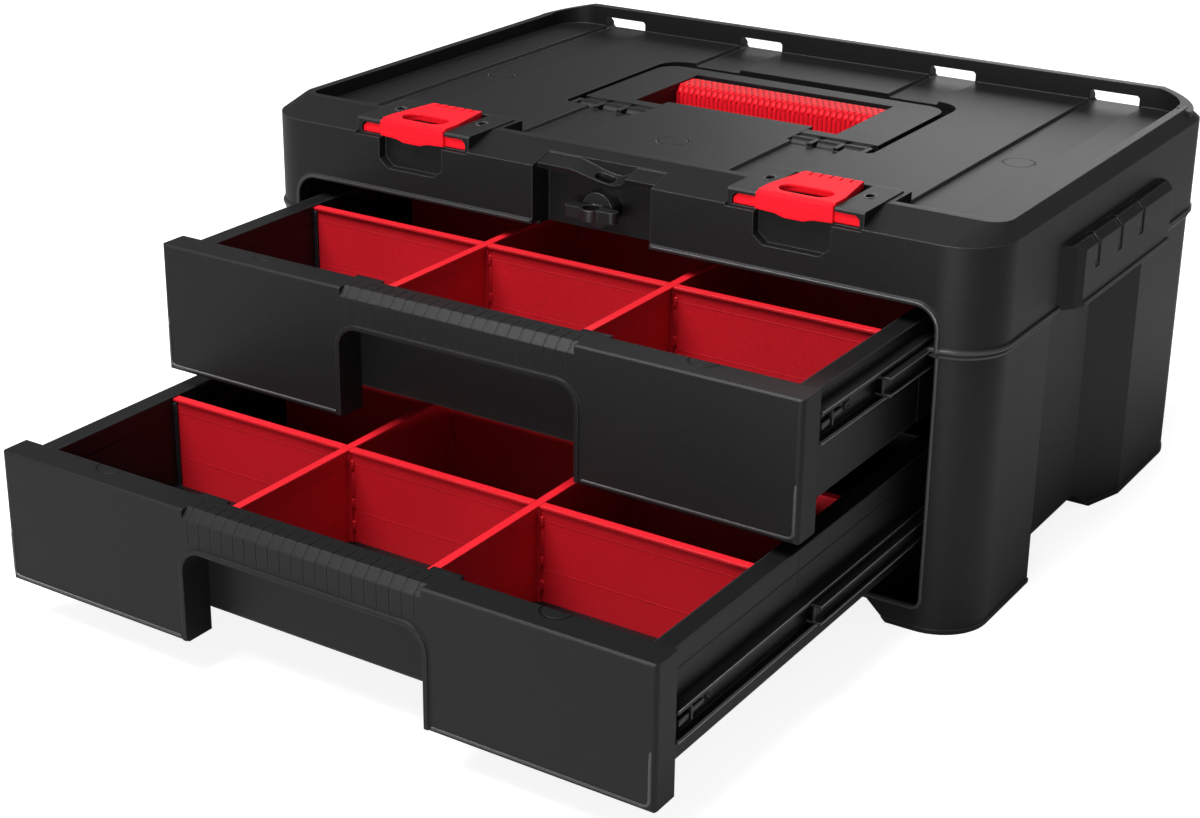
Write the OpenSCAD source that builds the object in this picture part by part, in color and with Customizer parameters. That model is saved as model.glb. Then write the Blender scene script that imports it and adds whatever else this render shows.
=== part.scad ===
// Portable tool box with two drawers on telescopic ball slides.
// Millimetres, +Z up, front of the box towards -Y.
// The drawers are drawn pulled out, as the box is shown; the origin lies on
// the floor, midway across and midway from the lower drawer's face to the back.

/* [Shell] */
// Width of the cover across its side walls
box_w = 474; // [464:1:520]
// Depth from the front face to the back wall
box_d = 330; // [320:1:380]
// Height of the lid's crest above the floor
box_h = 225; // [215:1:250]
// Height of the cover, from its parting line with the base to the crest
cover_h = 65; // [62:1:70]
// Thickness of the moulded walls
wall = 3; // [2.4:0.1:3.4]
// Radius of the upright corners at the front
front_r = 30; // [26:1:36]
// Radius of the upright corners at the back
rear_r = 28; // [26:1:36]
// How far the base stands in from the cover, all round
base_step = 1.5; // [1:0.1:2]
// Projection of the beads along the parting line and the opening
bead = 1; // [0.6:0.1:1.4]
// Height of each of those beads
bead_h = 2.6; // [2:0.1:3.4]

/* [Lid] */
// Depth of the long bevel along the front of the lid
bevel_d = 26.6; // [22:0.2:30]
// Height of the bevel all round the lid
bevel_h = 7.6; // [6:0.2:8.4]
// Width of the bevel along the sides of the lid
side_bevel = 7; // [5:0.2:9]
// Width of the bevel along the back of the lid
back_bevel = 8.4; // [7:0.2:9]
// Corner radius of the crest at the front
crest_front_r = 12; // [10:1:16]
// Corner radius of the crest at the back
crest_rear_r = 25; // [22:1:30]
// Width of the rim round the lid's floor
rim_w = 5; // [4:0.2:6]
// Depth of the lid's floor below the crest
lid_drop = 9; // [8:0.1:10]
// Height of the rear fence above the crest
fence_rise = 4.4; // [3:0.2:6]
// Thickness of the rear fence
fence_t = 9.6; // [8:0.2:11]
// Depth of the four channels of the lid, in line with its windows, below the crest
channel_drop = 11.2; // [10.6:0.1:12]
// How far the sloping sides of the channels run out
channel_slope = 1.4; // [0.8:0.1:2]
// Width of each stacking window in the rear fence, and of the channel before it
window_w = 31.6; // [26:0.2:34]
// Height of each stacking window
window_h = 8.5; // [7:0.1:9.5]
// Distance from the middle to the centre of an inner window
window_in = 70.1; // [64:0.1:76]
// Distance from the cover's side to the centre of an outer window
window_side = 58.5; // [54:0.1:64]

/* [Opening] */
// Distance from the cover's side to the drawer opening
side_room = 28.6; // [27:0.2:32]
// Distance from the crest down to the top of the opening
opening_drop = 41.6; // [40:0.2:45]
// Height of the front rail, from the underside of the base to the opening
rail_h = 3.6; // [3.2:0.2:7]
// Radius of the upper corners of the opening
opening_r = 12; // [8:0.5:14]
// Depth of the return lip round the opening
lip_d = 6; // [4:0.5:8]

/* [Feet] */
// Height of the feet
foot_h = 11; // [9:0.5:14]
// Depth of the front feet on the floor
front_foot_d = 93; // [80:1:100]
// Width of each foot at the underside of the base
foot_w = 57; // [50:1:62]
// How far the inner side of a foot slopes in to its sole
foot_slope = 12; // [8:0.5:14]
// Length of the rear feet at the underside of the base
rear_foot_d = 140; // [120:1:146]

/* [Side bays] */
// Depth of the bays in the side walls
bay_in = 13.5; // [10:0.5:15]
// Front end of the side bays
bay_y0 = 88; // [84:1:98]
// Back end of the straight part of the bays
bay_y1 = 185; // [176:1:190]
// Back end of the sloping panel of the bays
bay_y2 = 230; // [220:1:240]
// Projection of the hand blocks from the cover
block_out = 8.5; // [6:0.1:10]
// Front end of the hand blocks
block_y0 = 94; // [90:1:100]
// Back end of the hand blocks
block_y1 = 246; // [240:1:256]
// Height of the hand blocks above the parting line
block_h = 36; // [32:1:42]
// Width of the bevel along the top of the hand blocks
block_bevel = 4; // [2:0.5:6]
// Width of the notches in the hand blocks
notch_w = 7; // [5:0.5:10]
// Spacing of the notches
notch_pitch = 34; // [30:0.5:38]
// Distance from the front face to the middle notch
notch_y = 159; // [150:1:170]
// Height of the notches' lower ends above the parting line
notch_h = 18; // [14:0.5:22]

/* [Lock] */
// Width of the recess for the lock
lock_w = 77.4; // [70:0.2:84]
// Depth of the recess for the lock
lock_d = 16.6; // [14:0.2:19]
// Depth of the lock's shaft below the crest
lock_drop = 28.7; // [28:0.1:31]
// Half length of the lock's wing
wing_l = 17; // [13:0.5:17]
// Thickness of the wing
wing_t = 6.5; // [5:0.5:8]
// Radius of the padlock hole in the wing
wing_hole_r = 5; // [3.5:0.1:5.4]
// Radius of the lock's shaft
lock_shaft_r = 4; // [3:0.1:5]
// Running clearance of the shaft in the wall
shaft_fit = 0.08; // [0.04:0.01:0.1]
// Reach of the cam behind the wall
cam_l = 17.5; // [14:0.5:18]
// Thickness of the cam
cam_t = 3; // [2:0.2:4]
// Thickness of the padlock saddle above the recess
saddle_t = 3.2; // [2.6:0.2:4]
// Depth of the dip in the saddle
saddle_dip = 5.6; // [4:0.2:6]
// How far the saddle stands in from the front face
saddle_y = 5; // [3:0.5:7]
// Depth of the saddle below the bevel
saddle_sink = 0.8; // [0.4:0.1:1.6]
// Length of the padlock slot in the saddle
slot_l = 13; // [10:0.5:16]
// Width of the padlock slot
slot_w = 7; // [5:0.5:8]

/* [Stacking latches] */
// Distance from the middle to each latch
latch_x = 124.3; // [118:0.1:128]
// Width of each latch across its lugs
latch_w = 74; // [68:0.5:76]
// Height of the lugs
lug_h = 6.4; // [5.6:0.2:6.8]
// Depth of the lugs from front to back
lug_d = 13; // [10:0.5:14]
// Width of the latch's plate at the front
plate_w = 45; // [40:0.5:48]
// Depth of the latch's plate
plate_d = 43; // [38:0.5:46]
// Thickness of the latch's plate
plate_t = 4; // [3:0.2:5]
// Height of the top of the plate above the crest
plate_rise = 2.4; // [1.8:0.1:3.4]
// Length of the finger hole
finger_l = 31; // [26:0.5:34]
// Width of the finger hole
finger_w = 14; // [12:0.5:16]
// How far a latch pulls out
latch_travel = 8; // [5:0.5:9]
// Width of the pocket under each latch
pocket_w = 45.2; // [42:0.2:50]
// Depth of the pocket into the front face
pocket_d = 6; // [4:0.5:8]
// Depth of the bottom of the pocket below the crest
pocket_drop = 26.5; // [24:0.5:30]
// Thickness of the seat's roof over the lugs
seat_roof = 2.4; // [1.8:0.1:3]
// How far the front of a seat stands in from the front face
seat_y = 2.6; // [1.6:0.1:3.4]
// Clearance between a latch and its seat
latch_gap = 0.3; // [0.3:0.05:0.5]

/* [Carry handle] */
// Width of the recess for the handle
recess_w = 210; // [208:1:216]
// Front wall of the recess
recess_y0 = 132; // [128:1:134]
// Back wall of the recess
recess_y1 = 262; // [258:1:268]
// Depth of the recess below the lid's floor
recess_drop = 28; // [26:0.5:29]
// Radius of the recess's back corners
recess_r = 18; // [14:1:22]
// Width of the handle
handle_w = 201; // [196:1:204]
// Radius of the handle's back corners
handle_r = 14; // [10:1:18]
// Distance of the hinge axis from the front face
pivot_y = 142; // [141:0.5:144]
// Depth of the hinge axis below the lid's floor
pivot_drop = 6; // [5:0.5:7]
// Distance from the hinge axis to the back of the handle
handle_l = 106; // [102:0.5:108]
// Depth of the handle's frame from top to bottom
handle_h = 14; // [12:0.5:15]
// Height of the top of the handle above its hinge axis
handle_rise = 6; // [5:0.5:6.5]
// Width of the back rail of the handle
handle_rail = 13.2; // [11:0.2:16]
// Half width of the opening between the arms
arm_in = 69.5; // [66:0.5:72]
// Radius of the hinge knuckles
knuckle_r = 6.5; // [6:0.1:6.5]
// Width of each knuckle
knuckle_w = 13.4; // [11:0.2:13.8]
// Spacing of the knuckles
knuckle_pitch = 17; // [16.6:0.2:17.4]
// Radius of the hinge pins
pin_r = 2.5; // [2:0.1:3]
// Running clearance of the knuckles on their pins
pin_fit = 0.08; // [0.04:0.01:0.1]
// Depth of the red grip from front to back
grip_d = 27; // [24:0.5:28]
// Height of the red grip
grip_h = 22; // [18:0.5:23]
// Corner radius of the red grip's section
grip_r = 7; // [5:0.5:8]
// Half width of the plate that stands between the arms
tongue_w = 50; // [46:0.5:50]
// Back end of that plate
tongue_y = 165.2; // [160:0.2:168]

/* [Drawers] */
// Gap between the drawer fronts and the sides of the opening
side_gap = 7.2; // [5:0.2:9]
// Thickness of the drawer fronts
fascia_t = 17.8; // [16:0.2:20]
// Gap between the top of the opening and the upper drawer front
top_gap = 7.3; // [5.5:0.1:9]
// Gap between the two drawer fronts
mid_gap = 4.8; // [3:0.1:7]
// Gap between the lower drawer front and the rail
bottom_gap = 7.9; // [5:0.1:10]
// How far the upper drawer is pulled out
upper_open = 128.2; // [0:0.1:200]
// How far the lower drawer is pulled out
lower_open = 255.2; // [240:0.1:268]
// Thickness of the skin of the drawer fronts
fascia_skin = 2.6; // [2.2:0.1:3.2]
// Width of the arch under each drawer front
pull_w = 150; // [140:0.5:160]
// Distance from the top of a drawer front to its arch
pull_drop = 22; // [18:0.5:28]
// Radius of the arch's corners
pull_r = 12; // [8:0.5:16]
// Width of the ribbed finger ramp above the arch
ramp_w = 148; // [130:1:160]
// Depth and height of that ramp's bevel
ramp_s = 5; // [4:0.2:6]
// Number of grooves in the ramp
ramp_n = 20; // [12:1:24]
// Width of each groove
groove_w = 0.7; // [0.5:0.1:1.4]
// Depth of each groove
groove_d = 0.3; // [0.2:0.1:0.8]
// Radius of the drawer fronts' upright edges
fascia_r = 3; // [2:0.5:5]

/* [Trays] */
// Drop of the tray's rim below the top of the drawer front
tray_drop = 4; // [3:0.2:6]
// Rise of the tray's underside above the bottom of the drawer front
tray_rise = 12.9; // [10:0.1:15]
// Thickness of the tray's hollow side walls
side_t = 11; // [9:0.2:12]
// Thickness of the skins of the trays
skin = 2.2; // [1.8:0.1:2.6]
// Thickness of the tray's front and back walls
tray_end = 3; // [2.4:0.2:4]
// Room behind a shut drawer
back_room = 25.7; // [22:0.1:34]
// Distance from the middle to each long divider
divider_x = 61.1; // [56:0.1:66]
// Distance from the tray's front wall to the first row of panels
row_1 = 93.8; // [84:0.2:98]
// Distance from the first row to the second
row_2 = 91; // [84:0.5:94]
// Thickness of the dividers and panels
divider_t = 1.8; // [1.4:0.1:2.2]
// Width of the flange along the top of the dividers
flange_w = 5; // [4:0.2:6]
// Thickness of that flange
flange_t = 1.4; // [1:0.1:2]
// Drop of the dividers below the tray's rim
divider_drop = 1; // [0.6:0.1:2]
// Play of the dividers in the tray
divider_play = 0.2; // [0.1:0.05:0.3]
// Projection of the ribs that hold the panels upright
rib_out = 2; // [1.5:0.1:2.6]
// Distance from the drawer front to the seam on the tray's sides
seam_y = 122; // [110:1:134]

/* [Slides] */
// Thickness of the telescopic slides between tray and wall
slide_t = 12.4; // [12:0.1:13.4]
// Height of the slides
slide_h = 17; // [16:0.5:20]
// How much shorter than the tray the three members are at the back
slide_end = 1.5; // [1:0.1:4]
// How much shorter than the members the travel of a drawer is
slide_short = 10; // [6:0.5:12]
// Thickness of the slide's steel
steel = 1.2; // [1:0.1:1.3]
// Drop of the upper slides below the top of their drawer front
upper_slide_drop = 12; // [10:0.5:16]
// Drop of the lower slides below the top of their drawer front
lower_slide_drop = 31; // [24:0.5:34]
// Space between the flanges in which the balls run
ball_space = 2.2; // [2:0.1:2.6]
// Clearance between a ball and each flange
ball_fit = 0.08; // [0.05:0.01:0.1]
// Spacing of the balls in their cage
ball_pitch = 26; // [20:1:32]
// Gap between a drawer front and the slides' front ends
slide_gap = 0.5; // [0.5:0.1:2]
// How much each cage is shorter than the room it moves in
cage_room = 15; // [10:1:30]
// Rise of the walls that carry the slides above the upper slides
carrier_rise = 15; // [8:1:20]
// Spacing of the drain slots in the floor
drain_pitch = 120; // [90:5:140]

/* [Hidden] */
$fn = 48;
e = 0.01;
// Overlap of cutting tools beyond the faces they cut
over = 1;
cx = (box_d - lower_open) / 2;
part_z = box_h - cover_h;
bevel_z = box_h - bevel_h;
lid_z = box_h - lid_drop;
channel_z = box_h - channel_drop;
opening_w = box_w - 2 * side_room;
opening_top = box_h - opening_drop;
window_out = box_w / 2 - window_side;
block_top = part_z + block_h;
lock_z = box_h - lock_drop;
pocket_z = box_h - pocket_drop;
recess_z = lid_z - recess_drop;
pivot_z = lid_z - pivot_drop;
fascia_w = opening_w - 2 * side_gap;
floor_z = foot_h + wall;
opening_z = foot_h + rail_h;
fascia_h = (opening_top - opening_z - top_gap - mid_gap - bottom_gap) / 2;
upper_z = opening_top - top_gap;
lower_z = upper_z - fascia_h - mid_gap;
tray_w = opening_w - 2 * slide_t;
tray_l = box_d - base_step - wall - back_room - fascia_t;
slide_l = tray_l - slide_gap - slide_end;
slide_travel = slide_l - slide_short;
upper_slide_z = upper_z - upper_slide_drop - slide_h / 2;
lower_slide_z = lower_z - lower_slide_drop - slide_h / 2;
panel_top = upper_slide_z + slide_h / 2 + carrier_rise;
slide_y = fascia_t + slide_gap;
mid_h = slide_h - 2 * steel - 2 * ball_space;
channel_d = slide_t / 2 - latch_gap;
cage_l = slide_l - slide_travel / 2 - cage_room;
cage_t = 0.5;
seat_z = lid_z + 0.1;
lug_z = seat_z + 1.2;
seat_top = lug_z + lug_h - 0.6 + latch_gap + seat_roof;
plate_z = box_h + plate_rise;
fence_y = box_d - fence_t;
charcoal = "#3a3b3d";
red = "#d01f2b";
black = "#1d1e20";

// ---------- general helpers ----------

// Moves the model so that its origin is under the middle of the opened box
module placed() {
  translate([0, -cx, 0]) children();
}

module both() {
  children();
  mirror([1, 0, 0]) children();
}

// A box from its low corner to its high corner
module box(a, b) {
  translate(a) cube(b - a);
}

// Outline in plan, with its own corner radii at front and back
module plan(w, y0, y1, rf, rr) {
  translate([-w / 2, y0 + rf]) square([w, y1 - y0 - rf - rr]);
  translate([-w / 2 + rf, y0]) square([w - 2 * rf, rf + e]);
  translate([-w / 2 + rr, y1 - rr - e]) square([w - 2 * rr, rr + e]);
  for (s = [-1, 1]) {
    translate([s * (w / 2 - rf), y0 + rf]) circle(r = rf);
    translate([s * (w / 2 - rr), y1 - rr]) circle(r = rr);
  }
}

// Extrudes a shape drawn in X and Z along Y, from y0 to y1
module along_y(y0, y1) {
  translate([0, y1, 0]) rotate([90, 0, 0]) linear_extrude(y1 - y0) children();
}

// Extrudes a shape drawn in Y and Z along X, from x0 to x1
module along_x(x0, x1) {
  translate([x0, 0, 0]) rotate([90, 0, 90]) linear_extrude(x1 - x0) children();
}

// Arch: a rectangle from z0 to z1 whose upper corners are round
module arch(w, z0, z1, r) {
  translate([-w / 2, z0]) square([w, z1 - z0 - r]);
  translate([-w / 2 + r, z0]) square([w - 2 * r, z1 - z0]);
  for (s = [-1, 1])
    translate([s * (w / 2 - r), z1 - r]) intersection() {
      circle(r = r);
      translate([-r, -e]) square([2 * r, r + e]);
    }
}

// Slot with round ends along X
module slot(l, w) {
  square([l - w, w], center = true);
  for (s = [-1, 1])
    translate([s * (l - w) / 2, 0]) circle(d = w);
}

// ---------- base ----------

module bay_plan(grow) {
  x1 = box_w / 2 - base_step - bay_in;
  for (s = [-1, 1])
    polygon([
      [s * (x1 - grow), bay_y0 - grow], [s * (x1 - grow), bay_y1 + grow * 0.15],
      [s * (box_w / 2 - base_step - grow), bay_y2 + grow * 0.85],
      [s * (box_w / 2 + 9), bay_y2 + grow * 0.85], [s * (box_w / 2 + 9), bay_y0 - grow]
    ]);
}

module base_plan(inset) {
  step = base_step + inset;
  difference() {
    plan(box_w - 2 * step, step, box_d - step, front_r - step, rear_r - step);
    bay_plan(inset);
  }
}

// Outline of a foot across the box, with its sloping inner side, set in by t
module foot_across(t) {
  x0 = box_w / 2 - base_step - foot_w;
  polygon([
    [x0 + 2 * t, foot_h + 2 * t], [x0 + 2 * t, foot_h], [x0 + foot_slope + 2 * t, t],
    [box_w / 2 + 10, t], [box_w / 2 + 10, foot_h + 2 * t]
  ]);
}

module feet(t) {
  both() {
    along_y(-over, front_foot_d - t) foot_across(t);
    intersection() {
      along_y(box_d - rear_foot_d + t, box_d + over) foot_across(t);
      along_x(0, box_w / 2 + 5) polygon([
        [box_d - rear_foot_d + t, foot_h + 2 * t], [box_d - rear_foot_d + t, foot_h],
        [box_d - rear_foot_d + foot_slope + t, t], [box_d + over, t], [box_d + over, foot_h + 2 * t]
      ]);
    }
  }
}

module base() color(charcoal) {
  difference() {
    union() {
      // outer walls and floor
      difference() {
        union() {
          translate([0, 0, foot_h]) linear_extrude(part_z - foot_h) base_plan(0);
          translate([0, 0, part_z - bead_h]) linear_extrude(bead_h) base_plan(-bead);
          // feet in line with the walls, with a bead along their soles
          intersection() {
            union() {
              linear_extrude(foot_h + e) base_plan(0);
              linear_extrude(bead_h) base_plan(-bead * 0.6);
            }
            feet(0);
          }
        }
        translate([0, 0, floor_z]) linear_extrude(part_z) base_plan(wall);
        intersection() {
          translate([0, 0, wall]) linear_extrude(foot_h + 1) base_plan(wall);
          feet(wall);
        }
      }
      // inner walls that carry the slides
      both() {
        box([opening_w / 2, lip_d + 0.4, floor_z - e], [opening_w / 2 + wall, box_d - 2 * wall, panel_top]);
        box([opening_w / 2, wall, floor_z - e], [opening_w / 2 + wall, lip_d + 1, part_z]);
        // webs that tie them to the outer wall
        for (y = [bay_y0 - 40, bay_y2 + 40])
          box([opening_w / 2, y, floor_z - e], [box_w / 2 - base_step - 1, y + wall, part_z]);
      }
    }
    // drawer opening
    box([-opening_w / 2, -over - bead, opening_z], [opening_w / 2, wall + base_step + e, part_z + over]);
    // drain slots in the floor
    for (x = [-drain_pitch, 0, drain_pitch])
      translate([x, box_d / 2 + 60, foot_h - over]) linear_extrude(wall + 2 * over) slot(40, 8);
  }
}

// ---------- cover ----------

module cover_plan(inset) {
  plan(box_w - 2 * inset, inset, box_d - inset, front_r - inset, rear_r - inset);
}

module crest_plan(inset) {
  plan(box_w - 2 * side_bevel - 2 * inset, bevel_d + inset, box_d - back_bevel - inset,
    crest_front_r - inset, crest_rear_r - inset);
}

// Upper part of the cover, between the start of the bevel and the crest
module lid_top(inset, drop) {
  hull() {
    translate([0, 0, bevel_z - drop]) linear_extrude(e) cover_plan(inset, $fn = 32);
    translate([0, 0, box_h - drop - e]) linear_extrude(e) crest_plan(inset, $fn = 32);
  }
}

module cover_outside() {
  translate([0, 0, part_z]) linear_extrude(bevel_z - part_z + e) cover_plan(0);
  lid_top(0, 0);
}

// Plan of the hand blocks, with a bevelled front end
module block_plan(out) {
  for (s = [-1, 1])
    polygon([
      [s * (box_w / 2 - wall - 1), block_y0], [s * box_w / 2, block_y0],
      [s * (box_w / 2 + out * 0.7), block_y0 + out * 0.8], [s * (box_w / 2 + out), block_y0 + out * 1.5],
      [s * (box_w / 2 + out), block_y1 - 4], [s * box_w / 2, block_y1], [s * (box_w / 2 - wall - 1), block_y1]
    ]);
}

// Hand blocks, bevelled along the top, with their notches
module blocks() {
  x1 = box_w / 2 + block_out;
  difference() {
    intersection() {
      translate([0, 0, part_z]) linear_extrude(block_h) block_plan(block_out);
      along_y(block_y0 - over, block_y1 + over) polygon([
        [-x1, part_z], [x1, part_z], [x1, block_top - block_bevel], [x1 - block_bevel, block_top],
        [-x1 + block_bevel, block_top], [-x1, block_top - block_bevel]
      ]);
    }
    both() for (i = [-1 : 1])
      translate([0, notch_y + i * notch_pitch, 0]) along_y(-notch_w / 2, notch_w / 2) polygon([
        [x1 + over, part_z + notch_h], [x1 - 1, part_z + notch_h], [x1 - block_out + 2, part_z + notch_h + 4],
        [x1 - block_out + 2, block_top - 4], [x1 - block_out + 1, block_top + over], [x1 + over, block_top + over]
      ]);
  }
}

// Profile of the padlock saddle across the box, lowered by d
module saddle_profile(d) {
  h = lock_w / 2 + wall;
  polygon([
    [-h, -d], [-17, -d], [-12, -d - saddle_dip * 0.2], [-7, -d - saddle_dip * 0.45],
    [0, -d - saddle_dip * 0.8], [6, -d - saddle_dip], [11, -d - saddle_dip], [16, -d - saddle_dip * 0.7],
    [19.5, -d], [h, -d], [h, -d - saddle_t], [21, -d - saddle_t], [17, -d - saddle_t - saddle_dip * 0.75],
    [12, -d - saddle_t - saddle_dip], [5, -d - saddle_t - saddle_dip],
    [-1, -d - saddle_t - saddle_dip * 0.8], [-8, -d - saddle_t - saddle_dip * 0.45],
    [-13, -d - saddle_t - saddle_dip * 0.2], [-18, -d - saddle_t], [-h, -d - saddle_t]
  ]);
}

// Outline of the pocket below a latch, in X and Z
module pocket_outline(grow) {
  h = pocket_w / 2 + grow;
  polygon([
    [latch_x - h, box_h + 5], [latch_x - h, pocket_z + 5 - grow], [latch_x - h + 6, pocket_z - grow],
    [latch_x + h - 6, pocket_z - grow], [latch_x + h, pocket_z + 5 - grow], [latch_x + h, box_h + 5]
  ]);
}

// Plan of the lid's floor inside its rim, grown by g
module lid_floor(g) {
  plan(box_w - 2 * side_bevel - 2 * rim_w + 2 * g, bevel_d + rim_w - g, fence_y + g,
    crest_front_r - rim_w + g, crest_rear_r - rim_w + g);
}

// Outline of a stacking window in X and Z
module window_outline(x) {
  w = window_w / 2;
  z = channel_z + window_h;
  c = channel_slope;
  polygon([
    [x - w + c, channel_z], [x + w - c, channel_z], [x + w, channel_z + c], [x + w, z - c],
    [x + w - c, z], [x - w + c, z], [x - w, z - c], [x - w, channel_z + c]
  ]);
}

// Hollow under the rim along the front and the sides
module rim_hollow() {
  difference() {
    union() {
      translate([0, 0, channel_z - wall - e]) linear_extrude(bevel_z - channel_z + 2 * e) cover_plan(wall);
      lid_top(wall, wall);
    }
    translate([0, 0, part_z]) linear_extrude(cover_h) {
      lid_floor(wall);
      translate([-box_w / 2, box_d - back_bevel - crest_rear_r - rear_r]) square([box_w, box_d]);
    }
  }
}

// Room cut in the cover for a latch seat
module seat_room(grow) {
  box([latch_x - latch_w / 2 - 3 - grow, -over, seat_z - grow],
    [latch_x + latch_w / 2 + 3 + grow, plate_d + 6 + grow, box_h + 9]);
}

// Half-round ribs that carry the hinge pins
module hinge_ribs() {
  for (i = [0 : 2]) {
    x = tongue_w + knuckle_pitch * (i + 1) - (knuckle_pitch - knuckle_w) + 0.2;
    hinge_rib(x, x + knuckle_pitch - knuckle_w - 0.4);
  }
}

module hinge_rib(x0, x1) {
  box([x0, recess_y0 - 1, recess_z - e], [x1, pivot_y + knuckle_r - 0.5, pivot_z]);
  box([x0, recess_y0 - 1, recess_z - e], [x1, pivot_y, pivot_z + knuckle_r - 0.5]);
  along_x(x0, x1) translate([pivot_y, pivot_z]) circle(r = knuckle_r - 0.5);
}

module cover() color(charcoal) {
  difference() {
    union() {
      difference() {
        union() {
          cover_outside();
          translate([0, 0, part_z]) linear_extrude(bead_h) cover_plan(-bead);
          // hand blocks on the sides
          blocks();
          translate([0, 0, part_z]) linear_extrude(bead_h) block_plan(block_out + bead);
        }
        translate([0, 0, part_z - over]) linear_extrude(channel_z - wall - part_z + over) cover_plan(wall);
        rim_hollow();
      }
      // shelves over the side bays
      intersection() {
        translate([0, 0, part_z]) linear_extrude(wall) cover_plan(0);
        translate([0, 0, part_z]) linear_extrude(wall) bay_plan(wall);
      }
      // blocks behind the features of the front, clipped to the outside
      intersection() {
        cover_outside();
        union() {
          box([-lock_w / 2 - wall, 0, opening_top - 2], [lock_w / 2 + wall, lock_d + wall, box_h]);
          both() {
            seat_room(wall);
            along_y(0, pocket_d + wall) pocket_outline(wall);
          }
          // frame of the drawer opening
          along_y(0, lip_d) arch(opening_w + 2 * wall, part_z, opening_top + wall, opening_r + wall);
          // box of the handle recess
          box([-recess_w / 2 - wall, recess_y0 - wall, recess_z - wall],
            [recess_w / 2 + wall, recess_y1 + wall, lid_z]);
        }
      }
      // rear fence, which runs round the back corners and slopes down at its ends
      intersection() {
        translate([0, 0, channel_z - 1]) linear_extrude(box_h) difference() {
          crest_plan(-back_bevel / 2);
          translate([-box_w / 2, 0]) square([box_w, box_d - back_bevel - crest_rear_r]);
          plan(box_w - 2 * side_bevel - 2 * rim_w, bevel_d, fence_y, crest_rear_r, crest_rear_r - rim_w);
        }
        along_y(box_d / 2, box_d + over) polygon([
          [-box_w / 2, channel_z - over], [box_w / 2, channel_z - over], [box_w / 2, box_h - 2],
          [box_w / 2 - rear_r - 2, box_h + fence_rise], [-box_w / 2 + rear_r + 2, box_h + fence_rise],
          [-box_w / 2, box_h - 2]
        ]);
      }
      // bead round the opening
      along_y(-bead, wall) arch(opening_w + 2 * bead_h, part_z, opening_top + bead_h, opening_r + bead_h);
    }
    // drawer opening
    along_y(-over - bead, lip_d + over) arch(opening_w, part_z - over, opening_top, opening_r);
    // recess for the lock, up to the padlock saddle
    box([-lock_w / 2, -over - bead, opening_top - 2 - over], [lock_w / 2, lock_d, box_h + over]);
    translate([0, 0, lock_z]) rotate([-90, 0, 0]) cylinder(r = lock_shaft_r + shaft_fit, h = 2 * lock_d + wall);
    // pockets and rooms of the stacking latches
    both() {
      along_y(-over, pocket_d) pocket_outline(0);
      seat_room(0);
    }
    // floor of the lid inside its rim, with its channels, round the seats of the latches
    difference() {
      union() {
        translate([0, 0, lid_z]) linear_extrude(lid_drop + 2 * fence_rise) lid_floor(0);
        both() for (x = [window_in, window_out])
          // the inner ones stop at the handle recess and go on behind it
          for (y = x == window_in
              ? [[bevel_d + rim_w, recess_y0 + e], [recess_y1 - e, fence_y]]
              : [[bevel_d + rim_w, fence_y]])
            along_y(y[0], y[1]) polygon([
              [x - window_w / 2, channel_z], [x + window_w / 2, channel_z],
              [x + window_w / 2 + channel_slope, lid_z + e], [x - window_w / 2 - channel_slope, lid_z + e]
            ]);
      }
      both() seat_room(wall);
    }
    // stacking windows in the fence, with bevelled corners
    both() for (x = [window_in, window_out])
      along_y(fence_y - over, box_d + over) window_outline(x);
    // handle recess
    difference() {
      translate([0, 0, recess_z]) linear_extrude(box_h) plan(recess_w, recess_y0, recess_y1, 4, recess_r);
      box([-tongue_w, recess_y0 - over, recess_z - over], [tongue_w, tongue_y, box_h + 2 * over]);
      both() {
        hinge_ribs();
        // ledges on which the folded handle rests
        box([handle_w / 2 - 12, pivot_y + handle_l - 13, recess_z - over],
          [recess_w / 2 + over, recess_y1 + over, pivot_z + handle_rise - handle_h]);
      }
    }
    // hollow under the plate between the arms
    box([-tongue_w + wall + 1, recess_y0 + 1, recess_z - wall - over],
      [tongue_w - wall - 1, tongue_y - wall, lid_z - wall]);
    // bores of the hinge pins
    both() translate([tongue_w - wall - 1 - e, pivot_y, pivot_z]) rotate([0, 90, 0])
      cylinder(r = pin_r, h = 3 * knuckle_pitch + wall + 1 + e);
  }
  // padlock saddle over the lock
  difference() {
    translate([0, 0, bevel_z - saddle_sink]) rotate([atan(bevel_h / bevel_d), 0, 0])
      along_y(saddle_y, bevel_d) saddle_profile(0);
    translate([3, (saddle_y + lock_d) / 2, lock_z]) linear_extrude(lock_drop + 5) slot(slot_l, slot_w);
  }
}

// ---------- stacking latches ----------

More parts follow.
